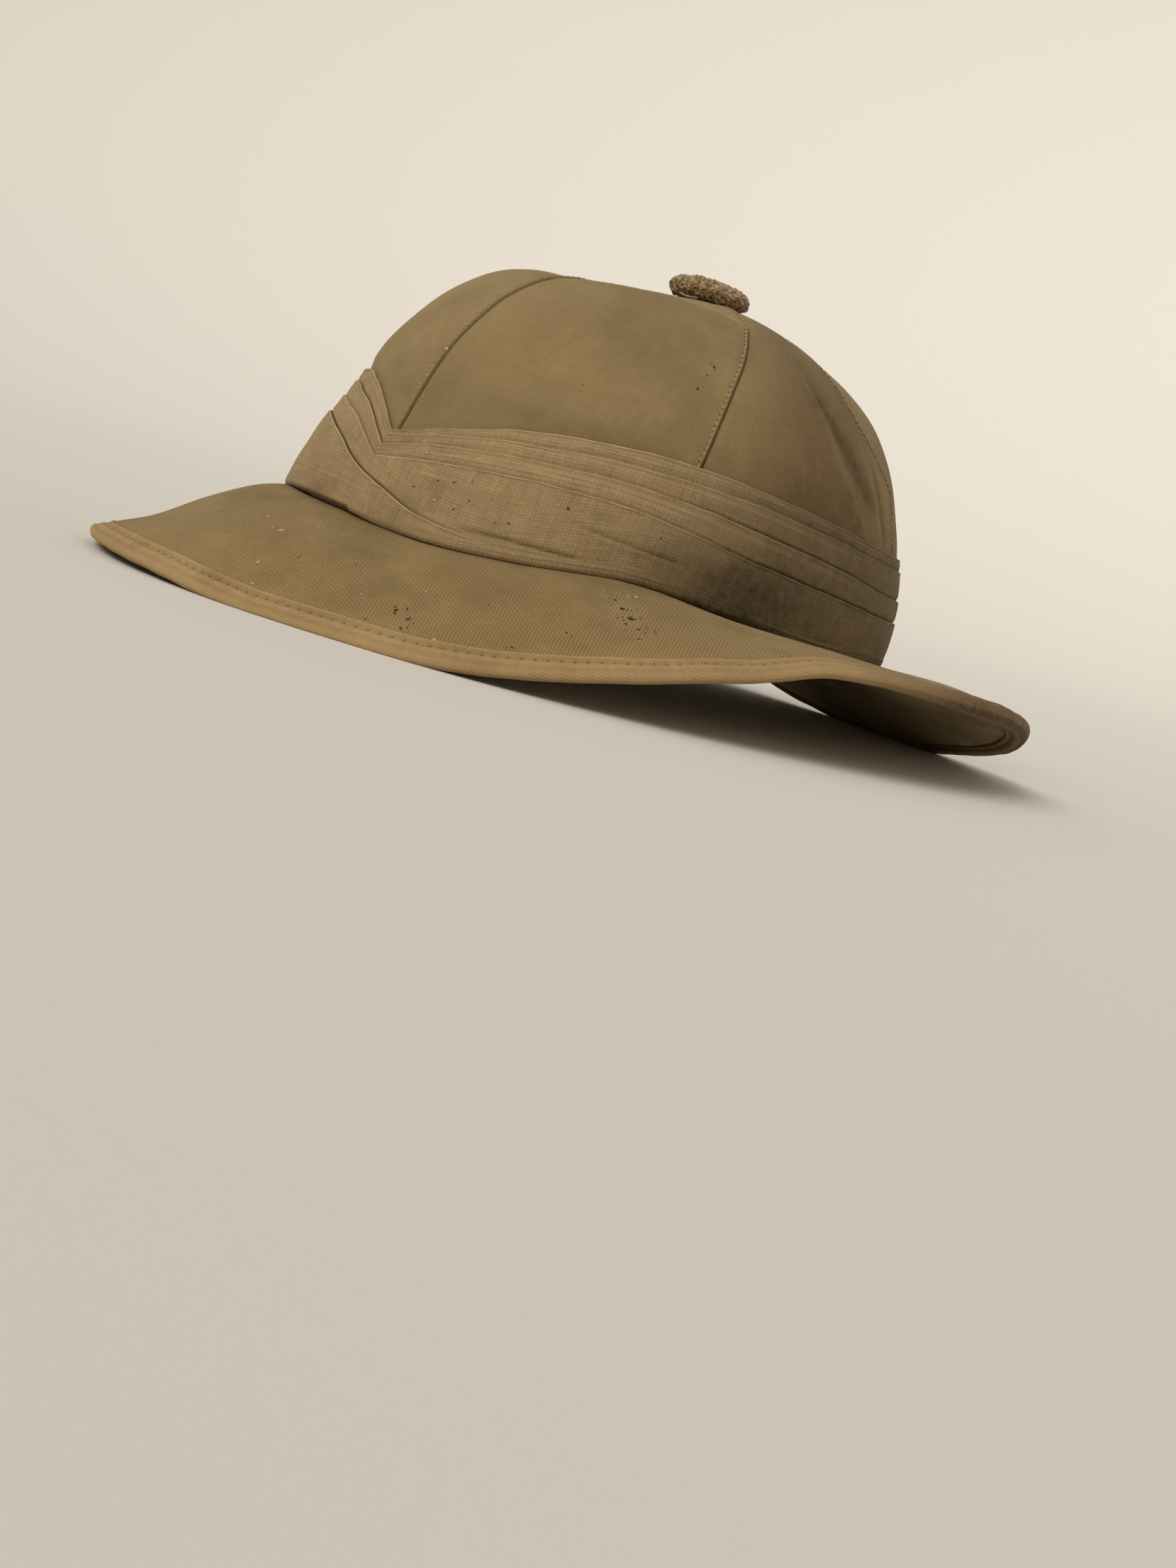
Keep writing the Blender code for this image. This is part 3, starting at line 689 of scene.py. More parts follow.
def brim_sheet(name, side, rows, columns, low, high, roughness):
    """One layer of the brim's cloth, from its root to inside the binding, with soft waves."""
    azimuth = np.repeat(np.linspace(0, 360, columns)[None, :], rows, 0)
    lines = BrimLines(azimuth)
    share = np.repeat(np.linspace(low, high, rows)[:, None], columns, 1)
    if side > 0:
        share = share[::-1]
    flat = lines.surface(share, side, SKIN)
    out = SKIN + roughness * (0.00035 * ripple(flat, 0.040, 1.0) + 0.00018 * ripple(flat, 0.014, 2.0))
    # Near its end the cloth thins down between core and tape
    out -= (out - GAP) * smooth(lines.leg - 0.001 / lines.length, lines.leg + 0.0025 / lines.length, share)
    points = lines.surface(share, side, out)
    points[:, -1] = points[:, 0]
    cut = np.stack([points[..., 0], points[..., 1]], -1) * 1.06
    wide = np.clip(share, 0, 1)
    # Paler out near the edge; darker by the root, in the corner under the band: painted shade
    marks = {
        "wear_and_highlight": 0.25 * smooth(0.80, 0.95, wide) * (0.5 + 0.5 * ripple(flat, 0.02, 3.0)),
        "soil_and_shade": 0.25 * (1 - smooth(0.02, 0.12, wide)) * (0.7 + 0.3 * ripple(flat, 0.018, 5.0)),
    }
    if side < 0:
        # The lining is darker at the back, out towards the rim: painted shade
        marks["soil_and_shade"] += 0.55 * smooth(0.30, 0.65, wide) * bump_at(azimuth, 128, 34)
    return cloth_sheet(name, points, cut, marks, ring=True, thick=CLOTH * 0.9)


# Khaki cotton twill: stouter than the crown's cloth, its ribs a fine slanting grain that catches the light.
# Real ribs lie 0.6 mm apart. They are drawn at 1.15 mm, or they wouldn't show.
brim_twill = cotton(
    "khaki_cotton_twill", pale="A0885C", dark="745C38", wear_and_highlight="AE9668", soil_and_shade_colour="46351E",
    thread=0.00115, weave="twill", contrast=0.62, slub=0.25, depth=0.00024,
    stains=[("6E5836", 0.045, 0.50, 0.68, 0.45, 2.0), ("86683E", 0.035, 0.55, 0.72, 0.30, 8.0)],
    steep=(0.534, 0.846))
brim_cover = brim_sheet("brim_twill_cover", 1, 60, 541, 0.004, 0.95, 1.0)
brim_cover.data.materials.append(brim_twill)
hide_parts("brim_cover")
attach(brim_cover, "root")

# Plain khaki lining cotton: thinner and less faded. Its colours are made paler to stand in for light
# bounced up under the brim, and it is darkened at the back (painted shade).
# Its threads are drawn at 1.1 mm, wider than real ones, so that they show.
lining_cotton = cotton(
    "plain_khaki_lining_cotton", pale="B8A076", dark="907852", wear_and_highlight="BCA472", soil_and_shade_colour="3A2914",
    thread=0.0011, weave="plain", contrast=0.2, slub=0.5, depth=0.00012,
    stains=[("644E2E", 0.05, 0.50, 0.66, 0.5, 3.0), ("7A5238", 0.03, 0.52, 0.70, 0.5, 7.0)])
brim_lining = brim_sheet("brim_cloth_lining", -1, 46, 361, -0.05, 0.95, 1.2)
brim_lining.data.materials.append(lining_cotton)
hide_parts("brim_lining")
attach(brim_lining, "root")


# Edge binding. Pale cotton twill tape, cut on the bias and folded over the rim, with one row of long
# stitches through both legs near their inner edges. Each stitch pulls the soft tape in at its holes.
RIM_STITCHES = 256
RIM_COLUMNS = RIM_STITCHES * 6 + 1


def rim_columns():
    """Azimuths evenly spaced along the rim, so that every stitch has the same length."""
    fine = np.linspace(0, 360, 7201)
    turn = np.radians(fine)
    rim = np.stack([HAT_WIDTH / 2 * np.sin(turn), -HAT_LENGTH / 2 * np.cos(turn)], -1)
    length = np.concatenate([[0], np.cumsum(np.linalg.norm(np.diff(rim, axis=0), axis=-1))])
    return np.interp(np.linspace(0, length[-1], RIM_COLUMNS), length, fine), length[-1]


# One leg of the tape: share of its width from the inner edge, height over the pith core in mm
LEG = ((0.0, 1.05), (0.02, 1.5), (0.06, 1.82), (0.12, 1.78), (0.22, 1.58), (0.31, 1.36), (0.38, 1.20),
       (0.45, 1.34), (0.53, 1.66), (0.64, 1.88), (0.78, 1.86), (0.92, 1.66))
STITCH_AT = 0.38
rim_azimuth, rim_length = rim_columns()
leg_share = np.array([share for share, _ in LEG])
leg_thick = np.array([thick for _, thick in LEG]) / 1000
nose_turns = np.radians(np.linspace(78, -78, 9))
lines = BrimLines(rim_azimuth)
holes = np.clip(np.cos(2 * np.pi * (np.arange(RIM_COLUMNS) / 6.0)), 0, 1) ** 2
half_edge = BRIM_CORE_EDGE / 2 + GAP + BINDING_CLOTH
nose_reach = GAP + BINDING_CLOTH
sides = []
loose = ripple(lines.edge, 0.010, 6.0)
fat = padding(rim_azimuth)
# Darker round the back of the binding: painted shade on the side away from the lamp, with some grime
back_shade_and_grime = 0.72 * smooth(98, 124, rim_azimuth) * (1 - smooth(215, 240, rim_azimuth))
for side in (1, -1):
    leg_rows = []
    for share, thick in zip(leg_share, leg_thick):
        at = lines.leg + (1 - lines.leg) * share
        furrow = float(bump_at(share, STITCH_AT, 0.085))
        lift = thick - furrow * holes * 0.0005 + (1 - furrow) * 0.00012 * loose
        lift = GAP + (lift - GAP) * (1 + (fat - 1) * min(share * 4, 1))
        leg_rows.append((lines.surface(at, side, lift), furrow * holes, share))
    sides.append(leg_rows)
rows = [spot for spot, _, _ in sides[0]]
# Paler near the top leg's inner edge and over its outer half. Dark in the stitch dents and at the tape's
# inner edge: painted shade.
wear_and_highlight = [0.6 * float(bump_at(share, 0.06, 0.05)) + 0.2 * (0.5 < share < 0.9) for _, _, share in sides[0]]
soil_and_shade = [0.95 * dent ** 2 + (0.45 if share < 0.01 else 0.0) + back_shade_and_grime for _, dent, share in sides[0]]
# Round the nose the lower half is darker: painted shade on the underside
for turn in nose_turns:
    x = nose_reach * 1.2 * math.cos(turn) ** 0.7
    y = half_edge * 1.03 * math.sin(turn) * fat
    lift = lines.up * (y + lines.wave)[:, None] + lines.along * (x + 0.0001 * loose)[:, None]
    rows.append(lines.edge + lift)
    wear_and_highlight.append(0.35 * math.cos(turn))
    soil_and_shade.append(back_shade_and_grime + 0.25 * (turn < 0))
# The lower leg, under the brim, is darker all over and in its stitch dents: painted shade
rows += [spot for spot, _, _ in sides[1][::-1]]
wear_and_highlight += [0.0 for _ in sides[1]]
soil_and_shade += [0.6 * dent + 0.55 for _, dent, _ in sides[1][::-1]]
for side in (-1, 1):
    rows.append(lines.surface(lines.leg, side, SKIN - 0.0005))
    wear_and_highlight.append(0.0)
    soil_and_shade.append(0.0)
rows.append(rows[0])
wear_and_highlight.append(wear_and_highlight[0])
soil_and_shade.append(soil_and_shade[0])
points = np.stack(rows)[::-1].copy()
points[..., 2] = np.maximum(points[..., 2], 0.0)
points[:, -1] = points[:, 0]
wear_and_highlight = np.stack([np.broadcast_to(share, RIM_COLUMNS) for share in wear_and_highlight])[::-1]
soil_and_shade = np.stack([np.broadcast_to(share, RIM_COLUMNS) for share in soil_and_shade])[::-1]
run = np.linspace(0, rim_length, RIM_COLUMNS)
over = np.concatenate([np.zeros((1, RIM_COLUMNS)), np.cumsum(
    np.linalg.norm(np.diff(points, axis=0), axis=-1), axis=0)])
over = np.repeat(over[:, :1], RIM_COLUMNS, 1)
cut = np.stack([np.repeat(run[None, :], len(points), 0), over], -1)
binding = cloth_sheet("edge_binding_tape", points, cut, {"wear_and_highlight": wear_and_highlight, "soil_and_shade": soil_and_shade}, ring=True)
# Bias-cut cotton tape: the palest cloth on the helmet, close and firm, with a faint slanting rib.
# The ribs are drawn at 1.0 mm, about twice their real spacing, so that they show.
binding_tape = cotton(
    "bias_cut_cotton_tape", pale="B4966A", dark="86693F", wear_and_highlight="C6AA7C", soil_and_shade_colour="46341D",
    thread=0.0010, weave="twill", contrast=0.42, slub=0.3, depth=0.00018,
    stains=[("8E7450", 0.03, 0.50, 0.68, 0.45, 4.0), ("7A6040", 0.02, 0.60, 0.74, 0.35, 6.0)],
    steep=(0.36, 0.93), sheen=0.12)
binding.data.materials.append(binding_tape)
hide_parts("edge_binding")
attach(binding, "root")


# Wound band. One long scarf of open-woven cotton, folded lengthwise and wound on from the foot up, so that
# each pleat's folded upper edge shows over the foot of the next. At the left of the front the last turn
# crosses over the rest and runs down to the brim.
BAND_HEIGHT = 0.045
FOLD_TABLE = (
    # azimuth, wrap, fold_3, fold_2, fold_1, top: heights of the fold lines in mm
    (24, 11.6, 17.9, 22.2, 26.0, 27.7),
    (30, 8.4, 19.6, 24.6, 27.9, 30.0),
    (38, 4.2, 21.6, 27.6, 31.2, 34.0),
    (48, 1.9, 23.7, 30.1, 34.6, 39.0),
    (60, 1.2, 25.5, 32.1, 37.5, 42.8),
    (72, 1.0, 26.2, 33.5, 39.5, 45.0),
    (84, 1.0, 24.1, 33.0, 40.1, 45.5),
    (95, 1.0, 21.9, 31.4, 39.6, 44.6),
    (114, 1.0, 19.2, 28.6, 37.4, 42.2),
    (136, 1.0, 17.2, 25.2, 35.2, 39.7),
    (180, 1.4, 16.2, 24.3, 34.6, 39.2),
    (225, 7.2, 18.4, 27.9, 36.9, 41.8),
    (270, 14.0, 24.8, 34.2, 41.4, 46.4),
    (300, 21.0, 29.6, 37.4, 42.1, 46.2),
    (336, 29.0, 36.0, 42.2, 44.8, 46.6),
    (352, 28.4, 35.4, 41.6, 44.6, 46.4),
    (360, 26.2, 33.6, 40.4, 44.6, 46.4),
    (366, 23.4, 31.6, 37.8, 42.2, 44.2),
    (372, 20.4, 28.9, 34.8, 38.6, 40.6),
    (378, 15.8, 24.0, 29.4, 33.2, 35.2),
    (382, 12.9, 20.0, 24.8, 28.6, 30.4),
)
LAYER = 0.00052
BAND_COLUMNS = 841
band_azimuth = np.linspace(24, 384, BAND_COLUMNS)
band_lines = BrimLines(band_azimuth)
band_turn = np.radians(band_azimuth)
ring = np.stack([np.sin(band_turn), np.cos(band_turn), 0 * band_turn], -1) * 0.1
foot = root_level(band_azimuth) + SKIN + 0.0007
read_at = band_azimuth - 1e-6 * (band_azimuth > 383)
heights = [read_round(FOLD_TABLE, column, read_at) / 1000 for column in range(1, 6)]
for place, line in enumerate(heights):
    seam_ease = np.minimum(smooth(24, 28, band_azimuth), 1 - smooth(380, 384, band_azimuth))
    wander = 0.00040 * ripple(ring, 0.020, 3.0 + place) + 0.00018 * ripple(ring, 0.007, 11.0 + place)
    heights[place] = line + wander * seam_ease
levels = [foot]
for line in heights:
    levels.append(np.maximum(line, levels[-1] + 0.0011))
# How strongly each fold shows, round the turn: the one over fold_2 only starts left of the crossing
strength = [
    1 - 0.9 * smooth(44, 52, band_azimuth) * (1 - smooth(200, 232, band_azimuth)),
    np.ones(BAND_COLUMNS),
    np.ones(BAND_COLUMNS),
    0.12 + 0.88 * smooth(33, 46, band_azimuth) * (1 - smooth(300, 336, band_azimuth)),
]
# Which folds lie open in a deep groove and which are pressed shut
groove_depth = [
    0.5 + 0.9 * (1 - smooth(30, 46, band_azimuth)) + 0.9 * smooth(330, 352, band_azimuth),
    0.55 + 0.75 * smooth(88, 108, band_azimuth) * (1 - smooth(190, 230, band_azimuth)),
    0.45 + 0.65 * smooth(70, 92, band_azimuth) * (1 - smooth(190, 230, band_azimuth))
    + 0.6 * smooth(345, 362, band_azimuth),
    0.35 + 0.3 * smooth(95, 125, band_azimuth),
]
out = GAP + 0.0013 + LAYER * 4
dip = out * band_lines.root_fall
band_rows = []


def band_row(level, out, wear_and_highlight=0.0, soil_and_shade=0.0, grain=0.0):
    """One row of the band's section, each value the same all round or one for each column."""
    values = (level, out, wear_and_highlight, soil_and_shade, grain)
    band_rows.append([np.broadcast_to(np.asarray(value, float), BAND_COLUMNS) for value in values])


base_out = out - 0.0006 * bump_at(band_azimuth, 142, 26)
# The foot stands open over the brim at the left of the front, and is pressed down further back
open_foot = 1 - smooth(16, 34, band_azimuth) + smooth(340, 372, band_azimuth)
lifted = 0.0011 * open_foot
pressed = 0.0009 * (1 - open_foot)
# The lowest rows, tucked under the foot, are darkened, most where the foot stands open: painted shade under
# the band
band_row(foot + dip + 0.0003 - pressed, base_out - 0.0022, soil_and_shade=0.9)
band_row(foot + dip + 0.0001 + 0.4 * lifted - pressed, base_out - 0.0012, soil_and_shade=0.3 + 0.6 * open_foot)
band_row(foot + dip + 0.0002 + lifted - pressed, base_out - 0.0006, soil_and_shade=0.2 + 0.4 * open_foot,
         grain=0.0006)
band_row(foot + dip + 0.0006 + lifted - 0.5 * pressed, base_out - 0.00015, soil_and_shade=0.15, grain=0.0012)
band_row(foot + dip + 0.0011 + lifted, base_out, wear_and_highlight=0.1, soil_and_shade=0.10, grain=0.0018)
PLEAT_ROWS = (9, 30, 13, 11, 9)
region_out = base_out
for region in range(5):
    low, high = levels[region], levels[region + 1]
    laid = 0.01 * region
    if region == 0:
        low = low + dip + lifted + 0.0016
        high = np.maximum(high, low + 0.0008)
        levels[1] = high
    width = high - low
    if region:
        power = strength[region - 1]
        step = LAYER * power
        sink = 0.00038 * groove_depth[region - 1] * power
        edge_highlight_and_wear = 0.75 * power
        # The folded edge of the pleat below, rounded over and painted pale (wear and painted highlight),
        # then the groove beside it, painted dark (painted shade)
        puff = 0.00013 * power
        edge_highlight_and_wear_here = edge_highlight_and_wear * np.clip(0.75 + 0.6 * ripple(ring, 0.006, 20.0 + region), 0, 1)
        near = np.minimum(0.00042, 0.3 * (low - levels[region - 1]))
        band_row(low - near, region_out + puff, wear_and_highlight=0.55 * edge_highlight_and_wear_here, grain=laid)
        band_row(low - near * 0.45, region_out + puff * 0.9, wear_and_highlight=edge_highlight_and_wear_here, grain=laid + 0.0004)
        band_row(low - near * 0.05, region_out - step * 0.25, wear_and_highlight=edge_highlight_and_wear_here, grain=laid + 0.0007)
        dark = power * np.minimum(groove_depth[region - 1], 1.2)
        band_row(low + 0.00005, region_out - step * 0.8 - sink * 0.4, soil_and_shade=0.75 * dark, grain=laid + 0.0011)
        region_out = region_out - step
        for rise, part, sunk, groove_shade, along in (
                (0.00020, 0.12, 1.0, 0.75 * dark, 0.0014), (0.00042, 0.24, 0.70, 0.30 * dark, 0.0017),
                (0.00085, 0.4, 0.25, 0.08 * power, 0.0021)):
            band_row(low + np.minimum(rise, part * width), region_out - sink * sunk, soil_and_shade=groove_shade,
                     grain=laid + along)
        start = np.minimum(0.00150, 0.55 * width)
    else:
        start = 0.0
    last = np.minimum(0.0008, 0.25 * width) if region < 4 else np.minimum(0.0010, 0.3 * width)
    for step_at in np.linspace(0, 1, PLEAT_ROWS[region]):
        level = low + start + (width - start - last) * step_at
        swell = 0.00022 * np.sin(np.pi * step_at) * (0.5 + ripple(ring, 0.04, 30.0 + region))
        soft = 0.00030 * ripple(np.stack([ring[:, 0], ring[:, 1], level], -1), 0.016, 40.0)
        soft += 0.00012 * ripple(np.stack([ring[:, 0], ring[:, 1], level], -1), 0.006, 41.0)
        extra_highlight_and_wear = np.zeros(BAND_COLUMNS)
        extra_shade = np.zeros(BAND_COLUMNS)
        if region == 1:
            # A short slack fold over the brim, a shallow valley above it painted dark (painted shade), and
            # a light crease further on, painted paler (wear and painted highlight)
            line = np.interp(band_azimuth, (62, 71, 80, 88), (0.0162, 0.0150, 0.0142, 0.0138))
            here = smooth(63, 69, band_azimuth) * (1 - smooth(80, 86, band_azimuth))
            soft -= 0.0004 * here * bump_at(level, line + 0.0005, 0.0007)
            soft += 0.0003 * here * bump_at(level, line - 0.0010, 0.0010)
            extra_shade += 0.45 * here * bump_at(level, line + 0.0003, 0.0005)
            line = np.interp(band_azimuth, (33, 42, 50), (0.0167, 0.0173, 0.0168))
            here = smooth(33, 36, band_azimuth) * (1 - smooth(42, 48, band_azimuth))
            extra_highlight_and_wear += 0.35 * here * bump_at(level, line, 0.0004)
            soft += 0.00012 * here * bump_at(level, line, 0.0007)
            # The lowest layer's own edge, which comes out under the crossing and runs into the brim, with a
            # dark groove of painted shade along it
            line = np.interp(band_azimuth, (44, 50, 58, 66, 74, 80),
                             (0.0028, 0.0042, 0.0050, 0.0056, 0.0050, 0.0040))
            here = smooth(46, 54, band_azimuth) * (1 - smooth(73, 80, band_azimuth))
            soft -= 0.0006 * here * bump_at(level, line + 0.0004, 0.0006)
            extra_shade += 0.75 * here * bump_at(level, line + 0.0002, 0.0006)
        if region >= 2:
            # Fine pressed creases between the main folds, paler along their ridges (wear and painted
            # highlight)
            for share, first, final in ((0.35, 28, 70), (0.7, 40, 110)):
                here = smooth(first, first + 8, band_azimuth)
                here = here * (1 - smooth(final, final + 20, band_azimuth)) * bump_at(step_at, share, 0.06)
                soft += 0.00012 * here
                extra_highlight_and_wear += 0.35 * here
        band_row(level, region_out + swell + soft, wear_and_highlight=extra_highlight_and_wear, soil_and_shade=extra_shade,
                 grain=laid + 0.0025 + (width - start - last) * step_at)
# The top edge is paler along its rounded rim (wear and painted highlight), and the rows turned in under it
# are dark: painted shade in the gap above the band
top = levels[5]
rim = np.minimum(0.0006, 0.2 * (levels[5] - levels[4]))
top_highlight_and_wear = 0.8 * np.clip(0.7 + 0.6 * ripple(ring, 0.006, 50.0), 0, 1)
band_row(top - rim, region_out + 0.00012, wear_and_highlight=0.5 * top_highlight_and_wear, grain=0.06)
band_row(top - rim * 0.4, region_out + 0.00005, wear_and_highlight=top_highlight_and_wear, grain=0.0605)
band_row(top - rim * 0.05, region_out - 0.00035, wear_and_highlight=top_highlight_and_wear, grain=0.061)
band_row(top, region_out - 0.00085, wear_and_highlight=0.4 * top_highlight_and_wear, soil_and_shade=0.3, grain=0.0615)
band_row(top - 0.0003, region_out - 0.0013, soil_and_shade=0.9, grain=0.062)
band_row(top - 0.0030, -0.0004 + 0 * region_out, soil_and_shade=0.9, grain=0.065)
band_row(np.maximum(foot + 0.004, 0.5 * (foot + top)), -0.0002 + 0 * region_out, grain=0.08)
band_row(foot + 0.0016, -0.0001 + 0 * region_out, grain=0.1)
band_rows.append(band_rows[0])
level, out, wear_and_highlight, soil_and_shade, grain = (np.stack([row[part] for row in band_rows]) for part in range(5))
# Darker round the back half, painted shade on the side away from the lamp, and darker low down at the left
# side
soil_and_shade += 0.60 * smooth(70, 108, band_azimuth) * (1 - smooth(230, 280, band_azimuth))
soil_and_shade += 0.42 * bump_at(band_azimuth, 90, 17) * (1 - smooth(0.012, 0.032, level))
points = crown_points(np.repeat(band_azimuth[None, :], len(level), 0), level, out)
points[:, -1] = points[:, 0]
steps = np.linalg.norm(np.diff(crown_points(band_azimuth, 0.02, 0), axis=0), axis=-1)
run = np.concatenate([[0], np.cumsum(steps)])
cut = np.stack([np.repeat(run[None, :], len(level), 0), grain], -1)
band = cloth_sheet("wound_band", points, cut, {"wear_and_highlight": wear_and_highlight, "soil_and_shade": soil_and_shade}, ring=True)
# Open-woven scarf cotton: coarse and slubby, so its threads show as a grid, with pale pleat edges (wear and
# painted highlight) and darkening in the folds and under the edges (painted shade). Its threads are drawn
# at 1.0 mm, about twice their real spacing.
band_cotton = cotton(
    "open_woven_scarf_cotton", pale="B0966E", dark="7E6746", wear_and_highlight="C4AC82", soil_and_shade_colour="2E230E",
    thread=0.0010, weave="plain", contrast=0.28, slub=0.75, depth=0.00016,
    stains=[("5E4B30", 0.040, 0.50, 0.70, 0.40, 2.5), ("6A4A30", 0.030, 0.58, 0.72, 0.35, 3.5),
            ("66603E", 0.022, 0.58, 0.74, 0.30, 9.5)])
band.data.materials.append(band_cotton)
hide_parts("pugaree")
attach(band, "root")


# Marks of use. Dark specks of dried mud and small pale drops lie on the cloth, most of them on the brim's
# front left, a few on the band's crossing and beside the seam.
# azimuth, share of the brim's width, length in mm, how many close by
BRIM_MUD = ((49, 0.88, 1.4, 3), (51, 0.76, 2.2, 4), (52, 0.73, 1.5, 2), (53, 0.80, 1.6, 4),
            (53, 0.87, 1.3, 3), (65, 0.86, 1.5, 2), (70, 0.71, 1.3, 2), (75, 0.34, 1.4, 6),
            (76, 0.43, 2.2, 8), (77, 0.53, 2.4, 9), (78, 0.63, 1.8, 6), (78, 0.72, 1.3, 4),
            (34, 0.60, 0.9, 4), (41, 0.50, 0.9, 5), (60, 0.55, 0.8, 4))
BRIM_DROPS = ((20, 0.40, 1.6, 2), (26, 0.46, 2.6, 2), (31, 0.74, 1.5, 3), (34, 0.88, 1.6, 2),
              (57, 0.89, 1.6, 2), (78, 0.25, 1.5, 3), (28, 0.30, 0.8, 5), (38, 0.62, 0.8, 7),
              (46, 0.72, 0.8, 6), (52, 0.55, 0.8, 5))
# azimuth, level in mm, length in mm, how many close by
WALL_MUD = ((36, 12, 1.3, 2), (40, 16, 1.2, 3), (43, 17, 1.4, 3), (46, 19, 1.2, 2), (47, 13, 1.0, 2),
            (45, 9, 1.1, 2), (55, 10, 1.2, 2), (63, 20, 1.5, 2), (79, 20, 1.1, 2),
            (76, 70.5, 1.3, 1), (78, 79.5, 1.5, 2), (77, 76, 1.0, 1), (55, 60, 0.7, 3))
WALL_DROPS = ((45, 26.5, 1.7, 1), (33, 27, 1.0, 3), (34, 30, 1.1, 3), (35, 23.5, 1.0, 3),
              (32, 20.5, 0.9, 3), (38, 22, 1.1, 3), (41, 10, 1.2, 1), (52, 33, 0.7, 3),
              (22.9, 59, 1.5, 2), (22.9, 54.5, 1.3, 2), (22.7, 52, 1.4, 1), (22.9, 49, 1.2, 2),
              (22.6, 43.5, 1.2, 3), (23.1, 40.5, 1.0, 2), (23.3, 36.5, 1.1, 2))
dice = random.Random(5)
bpy.context.view_layer.update()


def flecks(brim_rows, wall_rows, name):
    """Flat irregular specks, more than one where they lie in a cluster."""
    found = []
    for rows, on_brim in ((brim_rows, True), (wall_rows, False)):
        for azimuth, along, size, count in rows:
            for turn in range(count):
                loose = min(turn, 1)
                at = azimuth + loose * dice.gauss(0, 1.1)
                if on_brim:
                    spots = BrimLines(np.array([at]))
                    share = np.array([along + loose * dice.gauss(0, 0.035)])
                    spot = Vector(spots.surface(share, 1, SKIN)[0])
                    outward = Vector(spots.up[0])
                    cloths = [brim_cover]
                else:
                    level = (along + loose * dice.gauss(0, 1.6)) / 1000
                    spot, _, outward = crown_frame(at, level, 0.002)
                    cloths = [band, *gores]
                place, normal = on_cloth(cloths, spot, outward.normalized())
                long = size / 1000 * (dice.uniform(0.7, 1.0) if turn == 0 else dice.uniform(0.25, 0.6))
                way = Vector([dice.uniform(-1, 1) for _ in range(3)])
                found.append((place, way, normal, (long, long * dice.uniform(0.5, 1.1), 0.00035)))
    return lay_copies(small_bead(7, 5, 0.75), found, name)


mud = flecks(BRIM_MUD, WALL_MUD, "dried_mud_specks")
drops = flecks(BRIM_DROPS, WALL_DROPS, "pale_drops")
# Dried mud is a dull dark brown crust, and the dried drops are chalky and pale. Neither has any shine.
mud.data.materials.append(plain_thread("dried_mud", "54402A", "3A2915", 0.0005, 0.0))
drops.data.materials.append(plain_thread("pale_dried_drops", "D8C69E", "B49C70", 0.0005, 0.0))
for piece in (mud, drops):
    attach(piece, "root")


# Top button. A round of card over the meeting of the gores, covered in coarse curled wool, so that short
# loops stand up all over it with dark pits between them. One loose yarn end comes out under its front.
BUTTON_RADIUS = 0.0150
BUTTON_HEIGHT = 0.0090
bpy.ops.object.select_all(action="DESELECT")
bpy.ops.mesh.primitive_uv_sphere_add(segments=40, ring_count=20, radius=1)
button = bpy.context.active_object
button.name = button.data.name = "button_wool_cover"
ground_radius = BUTTON_RADIUS - 0.0012
half_height = BUTTON_HEIGHT * 0.5
ground_half = half_height - 0.0004
squeeze_mesh(ground_radius, ground_radius, ground_half)
puffy = button.modifiers.new("Full edge", "CAST")
puffy.factor = -0.12
bpy.ops.object.modifier_apply(modifier="Full edge")
bpy.ops.object.shade_smooth()
seat = Matrix.Translation((0, 0, CROWN_BASE)) @ Matrix.Rotation(-CROWN_LEAN, 4, "X") @ Matrix.Translation(
    (0, TOP_SHIFT, CROWN_HEIGHT + 0.0002 + half_height))
button.matrix_world = seat
bpy.ops.object.transform_apply(location=True, rotation=True, scale=True)
bpy.ops.object.select_all(action="DESELECT")
bpy.ops.mesh.primitive_torus_add(major_segments=9, minor_segments=5, major_radius=0.00125,
                                 minor_radius=0.00040)
loop_model = bpy.context.active_object
squeeze_mesh(1.0, 0.78, 1.15)
bpy.ops.object.shade_smooth()
dice = random.Random(11)
loops = []
LOOP_COUNT = 560
LOOP_RADIUS = BUTTON_RADIUS * 0.955
for place in range(LOOP_COUNT):
    # The loops follow a spiral down from the top, an even share of the button's face for each
    rise = 1 - 1.72 * (place + 0.5) / LOOP_COUNT
    around = place * math.pi * (3 - math.sqrt(5))
    flat = math.sqrt(1 - rise * rise) ** 0.75
    spot = Vector((LOOP_RADIUS * flat * math.cos(around), LOOP_RADIUS * flat * math.sin(around),
                   ground_half * rise))
    outward = Vector((spot.x / BUTTON_RADIUS ** 2, spot.y / BUTTON_RADIUS ** 2, spot.z / half_height ** 2))
    outward = outward.normalized() + Vector([dice.uniform(-0.55, 0.55) for _ in range(3)])
    along = Vector([dice.uniform(-1, 1) for _ in range(3)])
    size = dice.uniform(0.75, 1.2)
    loops.append((seat @ spot, seat.to_3x3() @ along, seat.to_3x3() @ outward, (size, size, size)))
wool_loops = lay_copies(loop_model, loops, "button_wool_loops")
line = bpy.data.curves.new("button_yarn_end", "CURVE")
line.dimensions = "3D"
line.bevel_depth = 0.00036
line.bevel_resolution = 3
line.resolution_u = 8
yarn = line.splines.new("BEZIER")
YARN = ((0.0100, -0.0085, -0.0040), (0.0118, -0.0112, -0.0046), (0.0128, -0.0142, -0.0050),
        (0.0120, -0.0160, -0.0046))
yarn.bezier_points.add(len(YARN) - 1)
for point, spot in zip(yarn.bezier_points, YARN):
    point.co = seat @ Vector(spot)
    point.handle_left_type = point.handle_right_type = "AUTO"
yarn_end = bpy.data.objects.new("button_yarn_end", line)
bpy.context.scene.collection.objects.link(yarn_end)
